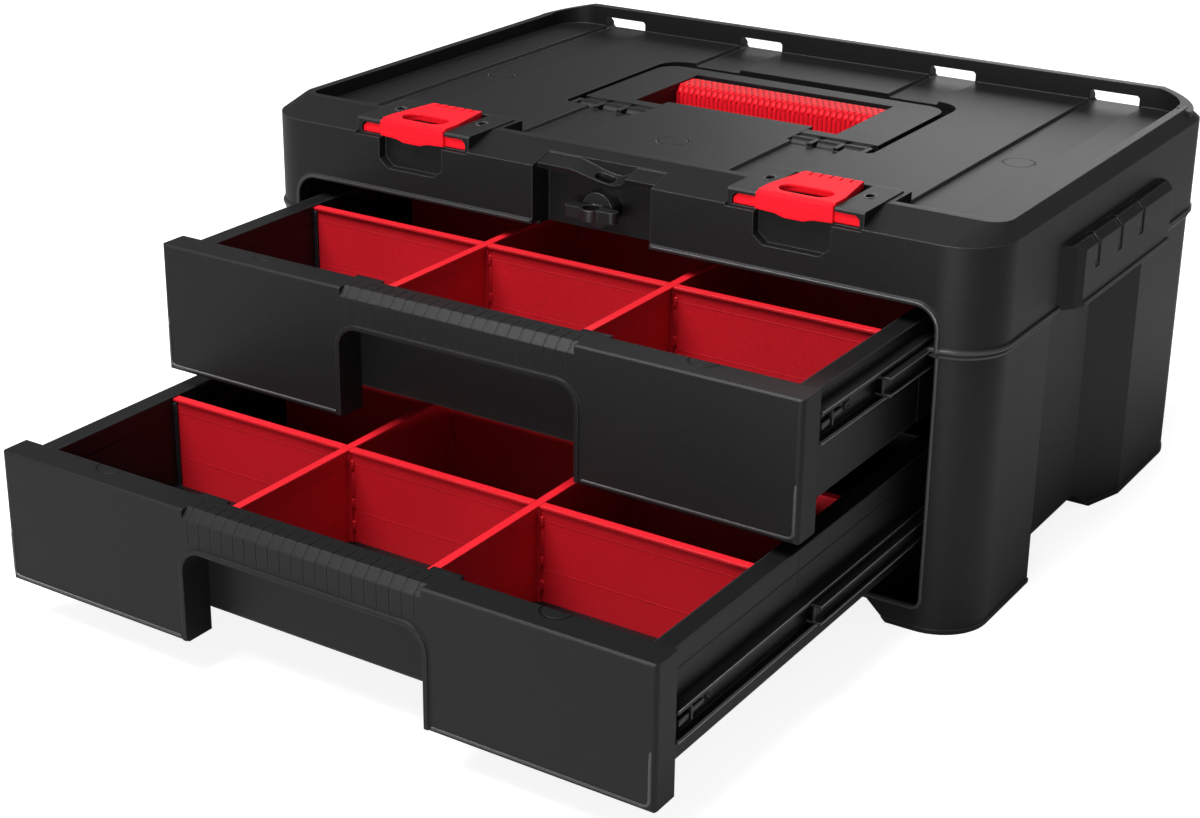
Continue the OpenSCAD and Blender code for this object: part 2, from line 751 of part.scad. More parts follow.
// Right-hand latch seat: a frame that fills its room and guides the lugs
module seat() color(black) {
  difference() {
    along_x(latch_x - latch_w / 2 - 3, latch_x + latch_w / 2 + 3) polygon([
      [seat_y, seat_z], [seat_y, seat_top - 1], [seat_y + 1, seat_top],
      [plate_d + 5, seat_top], [plate_d + 6, seat_top - 1], [plate_d + 6, seat_z]
    ]);
    // channel of the lugs, open at the front, with bevelled ends
    along_y(-over, 4 + lug_d + latch_gap) polygon([
      [latch_x - latch_w / 2 - latch_gap, lug_z - latch_gap], [latch_x + latch_w / 2 + latch_gap, lug_z - latch_gap],
      [latch_x + latch_w / 2 + latch_gap, lug_z + lug_h - 2.4], [latch_x + latch_w / 2 - 2, lug_z + lug_h - 0.6 + latch_gap],
      [latch_x - latch_w / 2 + 2, lug_z + lug_h - 0.6 + latch_gap], [latch_x - latch_w / 2 - latch_gap, lug_z + lug_h - 2.4]
    ]);
    // room for the plate and its web
    box([latch_x - plate_w / 2 - latch_gap, -over, lug_z - latch_gap],
      [latch_x + plate_w / 2 + latch_gap, 4 + plate_d + 1, box_h + over]);
    // small oval holes beside the plate
    for (s = [-1, 1])
      translate([latch_x + s * (plate_w / 2 + 7), 30, seat_z - over]) linear_extrude(20) rotate(90) slot(7, 4);
    // clearance to the front face
    box([latch_x - pocket_w / 2, -over, seat_z - over], [latch_x + pocket_w / 2, pocket_d, box_h + over]);
  }
}

module latch() color(red) {
  x = latch_x;
  difference() {
    union() {
      // lugs
      along_y(4, 4 + lug_d) polygon([
        [x - latch_w / 2, lug_z], [x + latch_w / 2, lug_z], [x + latch_w / 2, lug_z + lug_h - 3],
        [x + latch_w / 2 - 3, lug_z + lug_h - 0.6], [x - latch_w / 2 + 3, lug_z + lug_h - 0.6],
        [x - latch_w / 2, lug_z + lug_h - 3]
      ]);
      // plate
      translate([0, 0, plate_z - plate_t]) linear_extrude(plate_t) polygon([
        [x - plate_w / 2, 4], [x + plate_w / 2, 4], [x + plate_w / 2, 15], [x + plate_w / 2 - 5, 4 + plate_d],
        [x - plate_w / 2 + 5, 4 + plate_d], [x - plate_w / 2, 15]
      ]);
      // skirt in front, with its waved lower edge
      along_y(1.5, pocket_d - 0.5) polygon([
        [x - plate_w / 2, plate_z - 1], [x - plate_w / 2, lug_z], [x - plate_w / 4, lug_z - 0.6],
        [x - plate_w / 8, lug_z - 2.2], [x + plate_w / 8, lug_z - 2.2], [x + plate_w / 4, lug_z - 0.6],
        [x + plate_w / 2, lug_z], [x + plate_w / 2, plate_z - 1]
      ]);
      box([x - plate_w / 2, 4, lug_z], [x + plate_w / 2, 4 + lug_d, plate_z - e]);
    }
    // finger hole
    translate([x, 15, lug_z - over]) linear_extrude(20) slot(finger_l, finger_w);
    // ribs on the back edge
    for (i = [-2 : 2])
      box([x + i * 6 - 0.6, 4 + plate_d - 6, plate_z - 1], [x + i * 6 + 0.6, 5 + plate_d, plate_z + 1]);
  }
}

// ---------- handle ----------

handle_z1 = pivot_z + handle_rise;
handle_z0 = handle_z1 - handle_h;
grip_y = pivot_y + handle_l - handle_rail - 0.3 - grip_d / 2;

// Section of the grip in Y and Z, set in by t
module grip_section(t) {
  w = grip_d / 2 - t;
  h = grip_h / 2 - t;
  translate([grip_y, handle_z1 - 1 - grip_h / 2]) {
    square([2 * w, 2 * (h - grip_r)], center = true);
    square([2 * (w - grip_r), 2 * h], center = true);
    for (a = [-1, 1], b = [-1, 1])
      translate([a * (w - grip_r), b * (h - grip_r)]) circle(r = grip_r);
  }
}

// Plan of the arms and the back rail, set in by t
module handle_plan(t) {
  difference() {
    plan(handle_w - 2 * t, pivot_y + 14 + t, pivot_y + handle_l - t, 4 - t, handle_r - t);
    translate([-arm_in - t, pivot_y + 13])
      square([2 * arm_in + 2 * t, handle_l - 13 - handle_rail + t]);
  }
}

module handle_frame() color(charcoal) {
  difference() {
    union() {
      // arms and back rail
      translate([0, 0, handle_z0]) linear_extrude(handle_h) handle_plan(0);
      both() {
        box([tongue_w + 0.5, pivot_y + 8, handle_z0 + 3], [handle_w / 2, pivot_y + 16, handle_z1]);
        // knuckles
        for (i = [0 : 2]) {
          x = tongue_w + 0.3 + knuckle_pitch * i;
          along_x(x, x + knuckle_w - 0.4) translate([pivot_y, pivot_z]) circle(r = knuckle_r - 0.5);
          box([x, pivot_y, pivot_z - 4], [x + knuckle_w - 0.4, pivot_y + 10, pivot_z + knuckle_r - 1.5]);
        }
      }
      // core of the grip, joined to the rail behind it
      box([-arm_in, grip_y + 6, handle_z0 + 2], [arm_in, grip_y + grip_d / 2 + 1, handle_z1 - 3]);
      box([-arm_in - 1, grip_y - 7, handle_z0 + 2], [arm_in + 1, grip_y + 7, handle_z1 - 3]);
    }
    both() translate([tongue_w, pivot_y, pivot_z]) rotate([0, 90, 0])
      cylinder(r = pin_r + pin_fit, h = 3 * knuckle_pitch);
    // hollow underside of the arms and of the rail
    translate([0, 0, handle_z0 - over]) linear_extrude(handle_h - 3 + over) handle_plan(3);
  }
}

module handle_grip() color(red) {
  difference() {
    along_x(-arm_in, arm_in) grip_section(0);
    box([-arm_in - over, grip_y - 7, handle_z0 + 2], [arm_in + over, grip_y + grip_d, handle_z1 - 3]);
  }
}

module handle_pin() color("silver") {
  translate([tongue_w - wall - 1, pivot_y, pivot_z]) rotate([0, 90, 0])
    cylinder(r = pin_r, h = 3 * knuckle_pitch + wall + 1);
}

// ---------- lock ----------

module lock_wing() color(black) {
  difference() {
    union() {
      translate([0, 1, lock_z - wing_t / 2]) linear_extrude(wing_t) {
        circle(r = wing_hole_r + 1.7);
        slot(2 * wing_l, 7);
      }
      translate([0, 1 + wing_hole_r + 1, lock_z]) rotate([-90, 0, 0])
        cylinder(r = 10, h = lock_d - 0.3 - 2 - wing_hole_r);
      translate([0, lock_d - 1, lock_z]) rotate([-90, 0, 0])
        cylinder(r = lock_shaft_r, h = 1 + wall + 0.3 + cam_t);
    }
    translate([0, 1, lock_z - wing_t]) cylinder(r = wing_hole_r, h = 2 * wing_t);
  }
}

module lock_cam() color("silver") {
  y0 = lock_d + wall + 0.3;
  difference() {
    union() {
      translate([0, y0, lock_z]) rotate([-90, 0, 0]) cylinder(r = lock_shaft_r + 3, h = cam_t);
      box([0, y0, lock_z - 5], [cam_l, y0 + cam_t, lock_z + 5]);
    }
    translate([0, y0 - over, lock_z]) rotate([-90, 0, 0]) cylinder(r = lock_shaft_r, h = cam_t + 2 * over);
  }
}

// ---------- drawers ----------

// Front of a drawer whose top edge is at height z1, drawn shut
module fascia(z1) color(charcoal) {
  z0 = z1 - fascia_h;
  difference() {
    union() {
      translate([0, 0, z0]) linear_extrude(fascia_h) plan(fascia_w, 0, fascia_t, fascia_r, 0.5);
      // bead round the arch
      along_y(-bead, 1) difference() {
        arch(pull_w + 5, z0, z1 - pull_drop + 2.5, pull_r + 2.5);
        arch(pull_w, z0 - over, z1 - pull_drop, pull_r);
      }
    }
    // arch under the hand
    along_y(-over - bead, fascia_t + over) arch(pull_w, z0 - over, z1 - pull_drop, pull_r);
    // hollow back, to both sides of the arch and above it
    both() box([pull_w / 2 + fascia_skin, fascia_skin, z0 + fascia_skin],
      [fascia_w / 2 - fascia_skin, fascia_t + over, z1 - fascia_skin]);
    box([-pull_w / 2, ramp_s + fascia_skin, z1 - pull_drop + fascia_skin],
      [pull_w / 2, fascia_t + over, z1 - fascia_skin]);
    // bevelled finger ramp and its grooves
    along_x(-ramp_w / 2, ramp_w / 2) polygon([[-over, z1 + over], [ramp_s + over, z1 + over], [-over, z1 - ramp_s - over]]);
    for (i = [0 : ramp_n - 1])
      translate([-ramp_w / 2 + (i + 0.5) * ramp_w / ramp_n, 0, z1]) along_x(-groove_w / 2, groove_w / 2) polygon([
        [-over, 4 - pull_drop], [groove_d, 4 - pull_drop], [groove_d, -ramp_s], [ramp_s, -groove_d],
        [fascia_t - 3, -groove_d], [fascia_t - 3, over], [-over, over]
      ]);
    // bevels along the top and the bottom
    for (s = [-1, 1])
      translate([0, 0, (z0 + z1) / 2]) along_x(-box_w / 2, box_w / 2) polygon([
        [-over, s * (fascia_h / 2 - 1)], [0, s * (fascia_h / 2 - 1)], [1, s * fascia_h / 2],
        [1, s * (fascia_h / 2 + over)], [-over, s * (fascia_h / 2 + over)]
      ]);
  }
}

// Tray of a drawer, drawn shut
module tray(z1) color(charcoal) {
  top = z1 - tray_drop;
  bottom = z1 - fascia_h + tray_rise;
  y0 = fascia_t;
  y1 = fascia_t + tray_l;
  difference() {
    box([-tray_w / 2, y0, bottom], [tray_w / 2, y1, top]);
    box([-tray_w / 2 + side_t, y0 + tray_end, bottom + skin], [tray_w / 2 - side_t, y1 - tray_end, top + over]);
    // hollow side walls, open below
    both() box([tray_w / 2 - side_t + skin, y0 + tray_end, bottom - over],
      [tray_w / 2 - skin, y1 - tray_end, top - skin]);
    // seam on the outer skin
    both() box([tray_w / 2 - 0.5, y0 + seam_y, bottom - over], [tray_w / 2 + over, y0 + seam_y + 0.6, top - 3]);
  }
  // ribs that hold the panels and dividers
  for (k = [0, 1], s = [-1, 1], p = [-1, 1]) {
    y = y0 + tray_end + row_1 + k * row_2;
    box([s > 0 ? tray_w / 2 - side_t - rib_out : -tray_w / 2 + side_t - e, y + p * (divider_t / 2 + divider_play + 0.6) - 0.6,
        bottom + skin - e],
      [s > 0 ? tray_w / 2 - side_t + e : -tray_w / 2 + side_t + rib_out, y + p * (divider_t / 2 + divider_play + 0.6) + 0.6,
        top - divider_drop - flange_t - 1]);
  }
}

// Long divider at x, drawn shut
module divider(z1, x) color(red) {
  top = z1 - tray_drop - divider_drop;
  bottom = z1 - fascia_h + tray_rise + skin;
  y0 = fascia_t + tray_end + divider_play;
  y1 = fascia_t + tray_l - tray_end - divider_play;
  box([x - divider_t / 2, y0, bottom], [x + divider_t / 2, y1, top]);
  box([x - flange_w / 2, y0, top - flange_t], [x + flange_w / 2, y1, top]);
  for (k = [0, 1], s = [-1, 1], p = [-1, 1]) {
    y = fascia_t + tray_end + row_1 + k * row_2 + p * (divider_t / 2 + divider_play + 0.6);
    box([x + s * (divider_t / 2 + rib_out / 2 - e) - rib_out / 2, y - 0.6, bottom],
      [x + s * (divider_t / 2 + rib_out / 2 - e) + rib_out / 2, y + 0.6, top - flange_t - 1]);
  }
}

// Cross panel k (0 or 1) in column c (-1, 0 or 1), drawn shut
module panel(z1, k, c) color(red) {
  top = z1 - tray_drop - divider_drop;
  bottom = z1 - fascia_h + tray_rise + skin;
  y = fascia_t + tray_end + row_1 + k * row_2;
  d = divider_t / 2 + divider_play;
  f = flange_w / 2 + divider_play;
  x0 = c < 0 ? -tray_w / 2 + side_t + divider_play : c > 0 ? divider_x + d : -divider_x + d;
  x1 = c < 0 ? -divider_x - d : c > 0 ? tray_w / 2 - side_t - divider_play : divider_x - d;
  fx0 = c < 0 ? x0 : x0 - d + f;
  fx1 = c > 0 ? x1 : x1 + d - f;
  box([x0, y - divider_t / 2, bottom], [x1, y + divider_t / 2, top - flange_t - 0.3]);
  box([fx0, y - divider_t / 2, bottom + 5], [fx1, y + divider_t / 2, top]);
  box([fx0, y - flange_w / 2, top - flange_t], [fx1, y + flange_w / 2, top]);
}

// ---------- slides ----------

// Outer channel of a slide: web at x = 0, flanges towards +X with turned lips
module channel(l) {
  for (s = [-1, 1]) {
    box([0, 0, s * (slide_h / 2 - steel / 2) - steel / 2], [channel_d, l, s * (slide_h / 2 - steel / 2) + steel / 2]);
    box([channel_d - 0.9, 0, s * (slide_h / 2 - steel - 0.3) - 0.5], [channel_d, l, s * (slide_h / 2 - steel - 0.3) + 0.5]);
  }
  box([0, 0, -slide_h / 2], [steel, l, slide_h / 2]);
}

// Member fixed to the wall
module rail(z) color(black) {
  translate([opening_w / 2, slide_y, z]) mirror([1, 0, 0]) channel(slide_l);
}

// Member fixed to the tray
module runner(z) color(black) {
  translate([tray_w / 2, slide_y, z]) channel(slide_l);
}

// Middle member, an H section
module mid(z) color(black) {
  translate([tray_w / 2, slide_y, z]) {
    box([slide_t / 2 - steel / 2, 0, -mid_h / 2], [slide_t / 2 + steel / 2, slide_l, mid_h / 2]);
    for (s = [-1, 1])
      box([steel + 1, 0, s * (mid_h / 2 - steel / 2) - steel / 2],
        [slide_t - steel - 1, slide_l, s * (mid_h / 2 - steel / 2) + steel / 2]);
  }
}

// Cage with its balls, web at x = 0 side, opening towards +X
module cage() {
  r = ball_space / 2 - ball_fit;
  zc = mid_h / 2 + ball_space / 2;
  x0 = steel + 0.15;
  xb = slide_t / 4;
  n = floor(cage_l / ball_pitch);
  translate([0, slide_y + (slide_l - cage_l) / 2, 0]) {
    box([x0, 0, -zc - cage_t / 2], [x0 + cage_t, cage_l, zc + cage_t / 2]);
    for (s = [-1, 1]) {
      box([x0, 0, s * zc - cage_t / 2], [xb + 1, cage_l, s * zc + cage_t / 2]);
      for (i = [0 : n - 1])
        translate([xb, cage_l / 2 + (i - (n - 1) / 2) * ball_pitch, s * zc]) sphere(r = r, $fn = 24);
    }
  }
}

// Cage between the wall member and the middle member
module cage_a(z) color("silver") {
  translate([opening_w / 2, 0, z]) mirror([1, 0, 0]) cage();
}

// Cage between the middle member and the tray member
module cage_b(z) color("silver") {
  translate([tray_w / 2, 0, z]) cage();
}

// ---------- assembly ----------

module upper(share) {
  placed() translate([0, -upper_open * share, 0]) children();
}

module lower(share) {
  placed() translate([0, -lower_open * share, 0]) children();
}

module left() {
  mirror([1, 0, 0]) children();
}

placed() base();
placed() cover();
placed() left() seat();  // seat_left
placed() seat();  // seat_right
placed() left() latch();  // latch_left
placed() latch();  // latch_right
placed() handle_frame();
placed() handle_grip();
placed() left() handle_pin();  // handle_pin_left
placed() handle_pin();  // handle_pin_right
placed() lock_wing();
placed() lock_cam();
upper(1) fascia(upper_z);  // upper_fascia
upper(1) tray(upper_z);  // upper_tray
upper(1) divider(upper_z, -divider_x);  // upper_divider_left
upper(1) divider(upper_z, divider_x);  // upper_divider_right
upper(1) panel(upper_z, 0, -1);  // upper_panel_1
upper(1) panel(upper_z, 0, 0);  // upper_panel_2
upper(1) panel(upper_z, 0, 1);  // upper_panel_3
upper(1) panel(upper_z, 1, -1);  // upper_panel_4
upper(1) panel(upper_z, 1, 0);  // upper_panel_5
upper(1) panel(upper_z, 1, 1);  // upper_panel_6
lower(1) fascia(lower_z);  // lower_fascia
lower(1) tray(lower_z);  // lower_tray
lower(1) divider(lower_z, -divider_x);  // lower_divider_left
lower(1) divider(lower_z, divider_x);  // lower_divider_right
lower(1) panel(lower_z, 0, -1);  // lower_panel_1
lower(1) panel(lower_z, 0, 0);  // lower_panel_2
lower(1) panel(lower_z, 0, 1);  // lower_panel_3
lower(1) panel(lower_z, 1, -1);  // lower_panel_4
lower(1) panel(lower_z, 1, 0);  // lower_panel_5
lower(1) panel(lower_z, 1, 1);  // lower_panel_6
placed() left() rail(upper_slide_z);  // upper_rail_left
placed() rail(upper_slide_z);  // upper_rail_right
upper(1 / 2) left() mid(upper_slide_z);  // upper_mid_left
upper(1 / 2) mid(upper_slide_z);  // upper_mid_right
upper(1) left() runner(upper_slide_z);  // upper_runner_left
upper(1) runner(upper_slide_z);  // upper_runner_right
placed() left() rail(lower_slide_z);  // lower_rail_left
placed() rail(lower_slide_z);  // lower_rail_right
lower(1 / 2) left() mid(lower_slide_z);  // lower_mid_left
lower(1 / 2) mid(lower_slide_z);  // lower_mid_right
lower(1) left() runner(lower_slide_z);  // lower_runner_left
lower(1) runner(lower_slide_z);  // lower_runner_right
upper(1 / 4) left() cage_a(upper_slide_z);  // upper_cage_a_left
upper(1 / 4) cage_a(upper_slide_z);  // upper_cage_a_right
upper(3 / 4) left() cage_b(upper_slide_z);  // upper_cage_b_left
upper(3 / 4) cage_b(upper_slide_z);  // upper_cage_b_right
lower(1 / 4) left() cage_a(lower_slide_z);  // lower_cage_a_left
lower(1 / 4) cage_a(lower_slide_z);  // lower_cage_a_right
lower(3 / 4) left() cage_b(lower_slide_z);  // lower_cage_b_left
lower(3 / 4) cage_b(lower_slide_z);  // lower_cage_b_right
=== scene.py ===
"""Looks of a portable tool box with two drawers: finishes, small hardware, grip and studio."""
import math

import bmesh
import bpy
from mathutils import Matrix, Vector


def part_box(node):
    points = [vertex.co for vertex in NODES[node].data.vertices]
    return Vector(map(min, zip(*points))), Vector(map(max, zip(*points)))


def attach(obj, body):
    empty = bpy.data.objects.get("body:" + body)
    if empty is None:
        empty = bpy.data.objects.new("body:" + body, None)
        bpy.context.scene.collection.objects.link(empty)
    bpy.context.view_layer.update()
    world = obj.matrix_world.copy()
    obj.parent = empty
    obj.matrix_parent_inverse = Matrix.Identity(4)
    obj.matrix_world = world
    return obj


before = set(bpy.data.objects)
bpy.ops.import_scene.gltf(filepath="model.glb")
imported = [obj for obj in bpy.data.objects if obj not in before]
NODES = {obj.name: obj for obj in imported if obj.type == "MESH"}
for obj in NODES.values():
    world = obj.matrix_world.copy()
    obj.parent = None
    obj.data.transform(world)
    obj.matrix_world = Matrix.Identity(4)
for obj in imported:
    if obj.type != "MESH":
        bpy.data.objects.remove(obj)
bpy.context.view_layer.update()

bl_info = {
    "name": "Drawer tool box looks",
    "version": (1, 0, 0),
    "blender": (4, 5, 0),
    "location": "View3D > Sidebar > Tool box",
    "description": "Finishes, screws, grip and studio for a portable tool box with drawers",
    "category": "Object",
}

MM = 0.001

LEVELS = ("upper", "lower")
SIDES = (("left", -1.0), ("right", 1.0))
WHITE = (1.0, 1.0, 1.0, 1.0)

# Camera: the photograph's frame in pixels, the place in metres, the turns in degrees
PHOTO_WIDTH, PHOTO_HEIGHT = 1200.0, 818.0
VIEW_CENTRE_X, VIEW_CENTRE_Y = 559.3, 339.7
FOCAL_PIXELS = 2175.7
SENSOR_WIDTH = 36.0
CAMERA_PLACE = (0.6205, -0.9976, 0.5622)
CAMERA_AROUND, CAMERA_UP, CAMERA_ROLL = 33.71, 21.07, 0.23

# Shell and drawer opening, which the beads follow
SHELL_HALF = 237.0 * MM
SHELL_CORNER = 30.0 * MM
OPENING_HALF = 209.6 * MM
OPENING_SILL = 13.0 * MM
LOCK_HOUSING_HALF = 40.0 * MM

# Arch over the hand opening in a drawer front
PULL_HALF = 76.25 * MM
PULL_DROP = 20.75 * MM
PULL_CORNER = 13.25 * MM

# Round marks of the mould's ejector pins, shallow grooves painted dark as shade: places on the lid and behind
# the drawer fronts
LID_MARKS = ((-0.1785, 0.1326), (-0.0024, 0.0536), (0.1785, 0.1326))
LID_MARK_RADIUS = 0.009
FRONT_MARK_X = 0.138
FRONT_MARK_RADIUS = 0.008

# Scores along a red divider and the step under a tray's rim, down from the piece's top
SCORE_DROPS = (0.0085, 0.036)
RIM_STEP_LOW, RIM_STEP_HIGH = 0.0118, 0.0106

# Knuckles at the ends of a cross panel: heights down from 2 mm under its top
CLIP_SPANS = ((0.004, 0.010), (0.0105, 0.026), (0.0265, 0.032), (0.040, 0.0455))
CLIP_TOP = 0.002
PANELS_IN_ROW = 3

# Waves on a latch's front: drop of the ends below its top and sag of the middle, in mm
LATCH_WAVES = ((4.2, 0.9), (6.2, 1.5), (8.2, 1.9))

# Grooves in the hand blocks, behind the cover's front
GROOVE_MIDDLE = 160.0 * MM
GROOVE_PITCH = 34.0 * MM
GROOVE_HALF = 3.45 * MM

# Underside: screws and drain slots
CASE_SCREW_X = 150.0 * MM
CASE_SCREW_Y = (115.0 * MM, 170.0 * MM)
CASE_SCREW_RADIUS = 3.6 * MM
FLOOR_BOTTOM = 11.0 * MM
DRAIN_PITCH = 120.0 * MM
DRAIN_HALF = 20.0 * MM
DRAIN_BEHIND = 60.0 * MM

FLOOR_GREY = (0.52, 0.52, 0.52, 1.0)
FLOOR_GLOW = 0.86       # what the camera sees on top of the lit grey
WEB_THICKNESS = 0.0012  # pressed web of a slide's drawer member
SMOOTH_ANGLE = 35.0     # degrees under which faces shade as one
WELD = 1e-6             # distance at which points are one

# Finish of a CAD node by a word in its name; the rest is the shell's plastic
FINISH_BY_WORD = {
    "grip": "grip_rubber",
    "latch": "latch_red",
    "divider": "divider_red",
    "panel": "divider_red",
    "wing": "trim_black",
    "rail": "slide_coating",
    "_mid_": "slide_coating",
    "runner": "slide_coating",
    "cage": "zinc_plating",
    "pin": "zinc_plating",
    "cam": "zinc_plating",
    "cover": "lid_charcoal",
    "seat": "lid_charcoal",
    "fascia": "front_charcoal",
    "tray": "tray_charcoal",
}


# ---------------------------------------------------------------- shader maths

class Wire:
    """A shader socket that works in Python expressions on numbers."""

    def __init__(self, nodes, socket):
        self.nodes, self.socket = nodes, socket

    def _math(self, operation, a, b=None):
        values = {0: a} if b is None else {0: a, 1: b}
        return self.nodes.add("ShaderNodeMath", {"operation": operation}, values)

    def __add__(self, other):
        return self._math("ADD", self, other)

    def __radd__(self, other):
        return self._math("ADD", other, self)

    def __sub__(self, other):
        return self._math("SUBTRACT", self, other)

    def __rsub__(self, other):
        return self._math("SUBTRACT", other, self)

    def __mul__(self, other):
        return self._math("MULTIPLY", self, other)

    def __rmul__(self, other):
        return self._math("MULTIPLY", other, self)

    def __truediv__(self, other):
        return self._math("DIVIDE", self, other)

    def __abs__(self):
        return self._math("ABSOLUTE", self)

    def fract(self):
        return self._math("FRACT", self)

    def floor(self):
        return self._math("FLOOR", self)

    def sqrt(self):
        return self._math("SQRT", self)

    def below(self, limit):
        return self._math("LESS_THAN", self, limit)

    def most(self, other):
        return self._math("MAXIMUM", self, other)

    def ramp(self, low, high):
        """Smooth step from 0 at low to 1 at high."""
        return self.nodes.add("ShaderNodeMapRange", {"interpolation_type": "SMOOTHSTEP"},
                              {0: self, 1: low, 2: high, 3: 0.0, 4: 1.0})


class Shading:
    """A node tree under construction."""

    def __init__(self, tree):
        self.tree = tree
        tree.nodes.clear()

    def put(self, socket, value):
        """Links a wire to a socket, or sets the socket's own value."""
        if isinstance(value, Wire):
            self.tree.links.new(value.socket, socket)
        else:
            socket.default_value = value

    def add(self, kind, settings=None, inputs=None, out=0):
        """Adds a node of some kind and returns the wire of one of its outputs."""
        node = self.tree.nodes.new(kind)
        for key, value in (settings or {}).items():
            setattr(node, key, value)
        for key, value in (inputs or {}).items():
            self.put(node.inputs[key], value)
        return Wire(self, node.outputs[out])

    def close(self, kind, wire):
        """Ends the tree with an output node."""
        self.put(self.tree.nodes.new(kind).inputs["Surface"], wire)


class Finish(Shading):
    """A material under construction."""

    def __init__(self, name):
        self.material = bpy.data.materials.new(name)
        self.material.use_nodes = True
        super().__init__(self.material.node_tree)
        self.place = self.add("ShaderNodeTexCoord", out="Object")
        split = self.add("ShaderNodeSeparateXYZ", inputs={0: self.place}).socket.node
        self.x, self.y, self.z = (Wire(self, socket) for socket in split.outputs)

    def noise(self, scale, detail=2.0, rough=0.5, stretch=None):
        place = self.place
        if stretch:
            place = self.add("ShaderNodeMapping", inputs={"Vector": place, "Scale": stretch})
        inputs = {"Vector": place, "Scale": scale, "Detail": detail, "Roughness": rough}
        return self.add("ShaderNodeTexNoise", inputs=inputs)

    def mix(self, share, a, b):
        """Colour from a to b."""
        return self.add("ShaderNodeMix", {"data_type": "RGBA"}, {0: share, 6: a, 7: b}, out=2)

    def soft_edges(self, radius):
        """Normal that rounds the moulded edges."""
        return self.add("ShaderNodeBevel", {"samples": 4}, {"Radius": radius})

    def edge_mask(self, rounded):
        """1 on rounded edges, 0 on flats."""
        flat = self.add("ShaderNodeNewGeometry", out="Normal")
        dot = self.add("ShaderNodeVectorMath", {"operation": "DOT_PRODUCT"},
                       {0: rounded, 1: flat}, out="Value")
        return (1.0 - dot).ramp(0.004, 0.12)

    def surface(self, color, roughness, height, depth, rounded, **fixed):
        """Closes the material with a Principled shader; fixed values go on their own sockets."""
        relief = {"Height": height, "Distance": depth, "Strength": 1.0, "Normal": rounded}
        normal = self.add("ShaderNodeBump", inputs=relief)
        inputs = {"Base Color": color, "Roughness": roughness, "Normal": normal}
        inputs.update({key.replace("_", " "): value for key, value in fixed.items()})
        self.close("ShaderNodeOutputMaterial", self.add("ShaderNodeBsdfPrincipled", inputs=inputs))
        return self.material


def shade(color, factor=1.0):
    """A colour made darker or lighter, for a colour socket."""
    return (color[0] * factor, color[1] * factor, color[2] * factor, 1.0)


# ---------------------------------------------------------------- finishes

def moulded_plastic(name, color, roughness, grain, edge=0.0006, lift=12.0, gleam=0.24, rings=(), extra=None):
    """Textured injection-moulded plastic: fine grain, slight flow clouds, painted highlights on the rounded
    edges.

    grain is the depth of the texture, edge the radius of the edges, lift the brightness of
    the painted highlight on the edges, rings the round marks (x, y, radius) whose grooves are
    painted dark as shade, and extra adds depth of its own.
    """
    f = Finish(name)
    rounded = f.soft_edges(edge)
    edge_highlight = f.edge_mask(rounded)
    clouds = f.noise(9.0, 3.0)
    fine = f.noise(2600.0, 2.0, 0.6)
    pores = f.noise(900.0, 3.0, 0.65)
    tone = f.mix(clouds.ramp(0.3, 0.7), shade(color, 0.92), shade(color, 1.08))
    tone = f.mix(pores.ramp(0.42, 0.66) * 0.35, tone, shade(color, 1.35))
    # painted highlight: the rounded edges are lightened, patchy with the pores
    tone = f.mix(edge_highlight * (0.35 + pores * 0.4), tone, shade(color, lift))
    height = fine * 0.5 + pores * 0.8
    for ring_x, ring_y, ring_r in rings:
        dx, dy = f.x - ring_x, f.y - ring_y
        away = (dx * dx + dy * dy).sqrt()
        line = 1.0 - abs(away - ring_r).ramp(0.0002, 0.0008)
        height = height - line * (0.0005 / grain)
        # painted shade: the ring's groove is also drawn dark in the colour
        tone = f.mix(line * 0.9, tone, shade(color, 0.1))
    if extra is not None:
        height = height + extra(f) * (1.0 / grain)
    gloss = roughness + pores * 0.10 - edge_highlight * 0.08 - 0.04
    return f.surface(tone, gloss, height, grain, rounded, Specular_IOR_Level=gleam)


def grip_rubber(name, color, low, high):
    """Soft red grip: overlapping scales on top, upright ribs on the front, painted shade in the gaps between
    them.

    low and high are the corners of the grip's box.
    """
    f = Finish(name)
    rounded = f.soft_edges(0.0006)
    row_height, scale_width, rib_pitch = 0.0036, 0.0042, 0.0032
    rows = (f.y - low.y) / row_height
    shift = (rows.floor() / 2.0).fract()
    u = ((f.x - low.x) / scale_width + shift).fract() - 0.5
    v = rows.fract() - 0.15
    bulge = (1.0 - (u * u * 3.2 + v * v * 0.9)).most(0.0)
    on_top = f.z.ramp(high.z - 0.0065, high.z - 0.0035)
    w = (f.x / rib_pitch).fract() - 0.5
    ribs = 1.0 - w * w * 4.0
    front = (low.y + 0.006 - f.y).ramp(0.0, 0.002) * (1.0 - on_top)
    height = bulge * on_top * 0.0014 + ribs * front * 0.0006
    fine = f.noise(1800.0, 2.0)
    scale_gap_shade = (1.0 - bulge) * on_top
    # painted shade in the gaps between the scales
    tone = f.mix(scale_gap_shade.ramp(0.2, 0.75) * 0.75, shade(color), shade(color, 0.22))
    # painted shade in the grooves between the ribs
    tone = f.mix((1.0 - ribs).ramp(0.4, 1.0) * front * 0.6, tone, shade(color, 0.3))
    return f.surface(tone, 0.5 + fine * 0.12, height + fine * 0.00004, 1.0, rounded, Specular_IOR_Level=0.22)


def coated_steel(name, color):
    """Black coated roll-formed steel with draw lines along the slide and a painted highlight on its edges."""
    f = Finish(name)
    rounded = f.soft_edges(0.0004)
    edge_highlight = f.edge_mask(rounded)
    draw = f.noise(120.0, 3.0, 0.6, stretch=(8.0, 0.12, 8.0))
    highlight_patches = f.noise(60.0, 3.0)
    tone = f.mix(draw.ramp(0.35, 0.7), shade(color), shade(color, 1.7))
    # painted highlight: the rounded edges turn light grey in patches
    tone = f.mix(edge_highlight * (0.3 + highlight_patches * 0.5), tone, (0.32, 0.32, 0.33, 1.0))
    return f.surface(tone, 0.34 + draw * 0.18 - edge_highlight * 0.1, draw, 0.00008, rounded, Metallic=0.55)


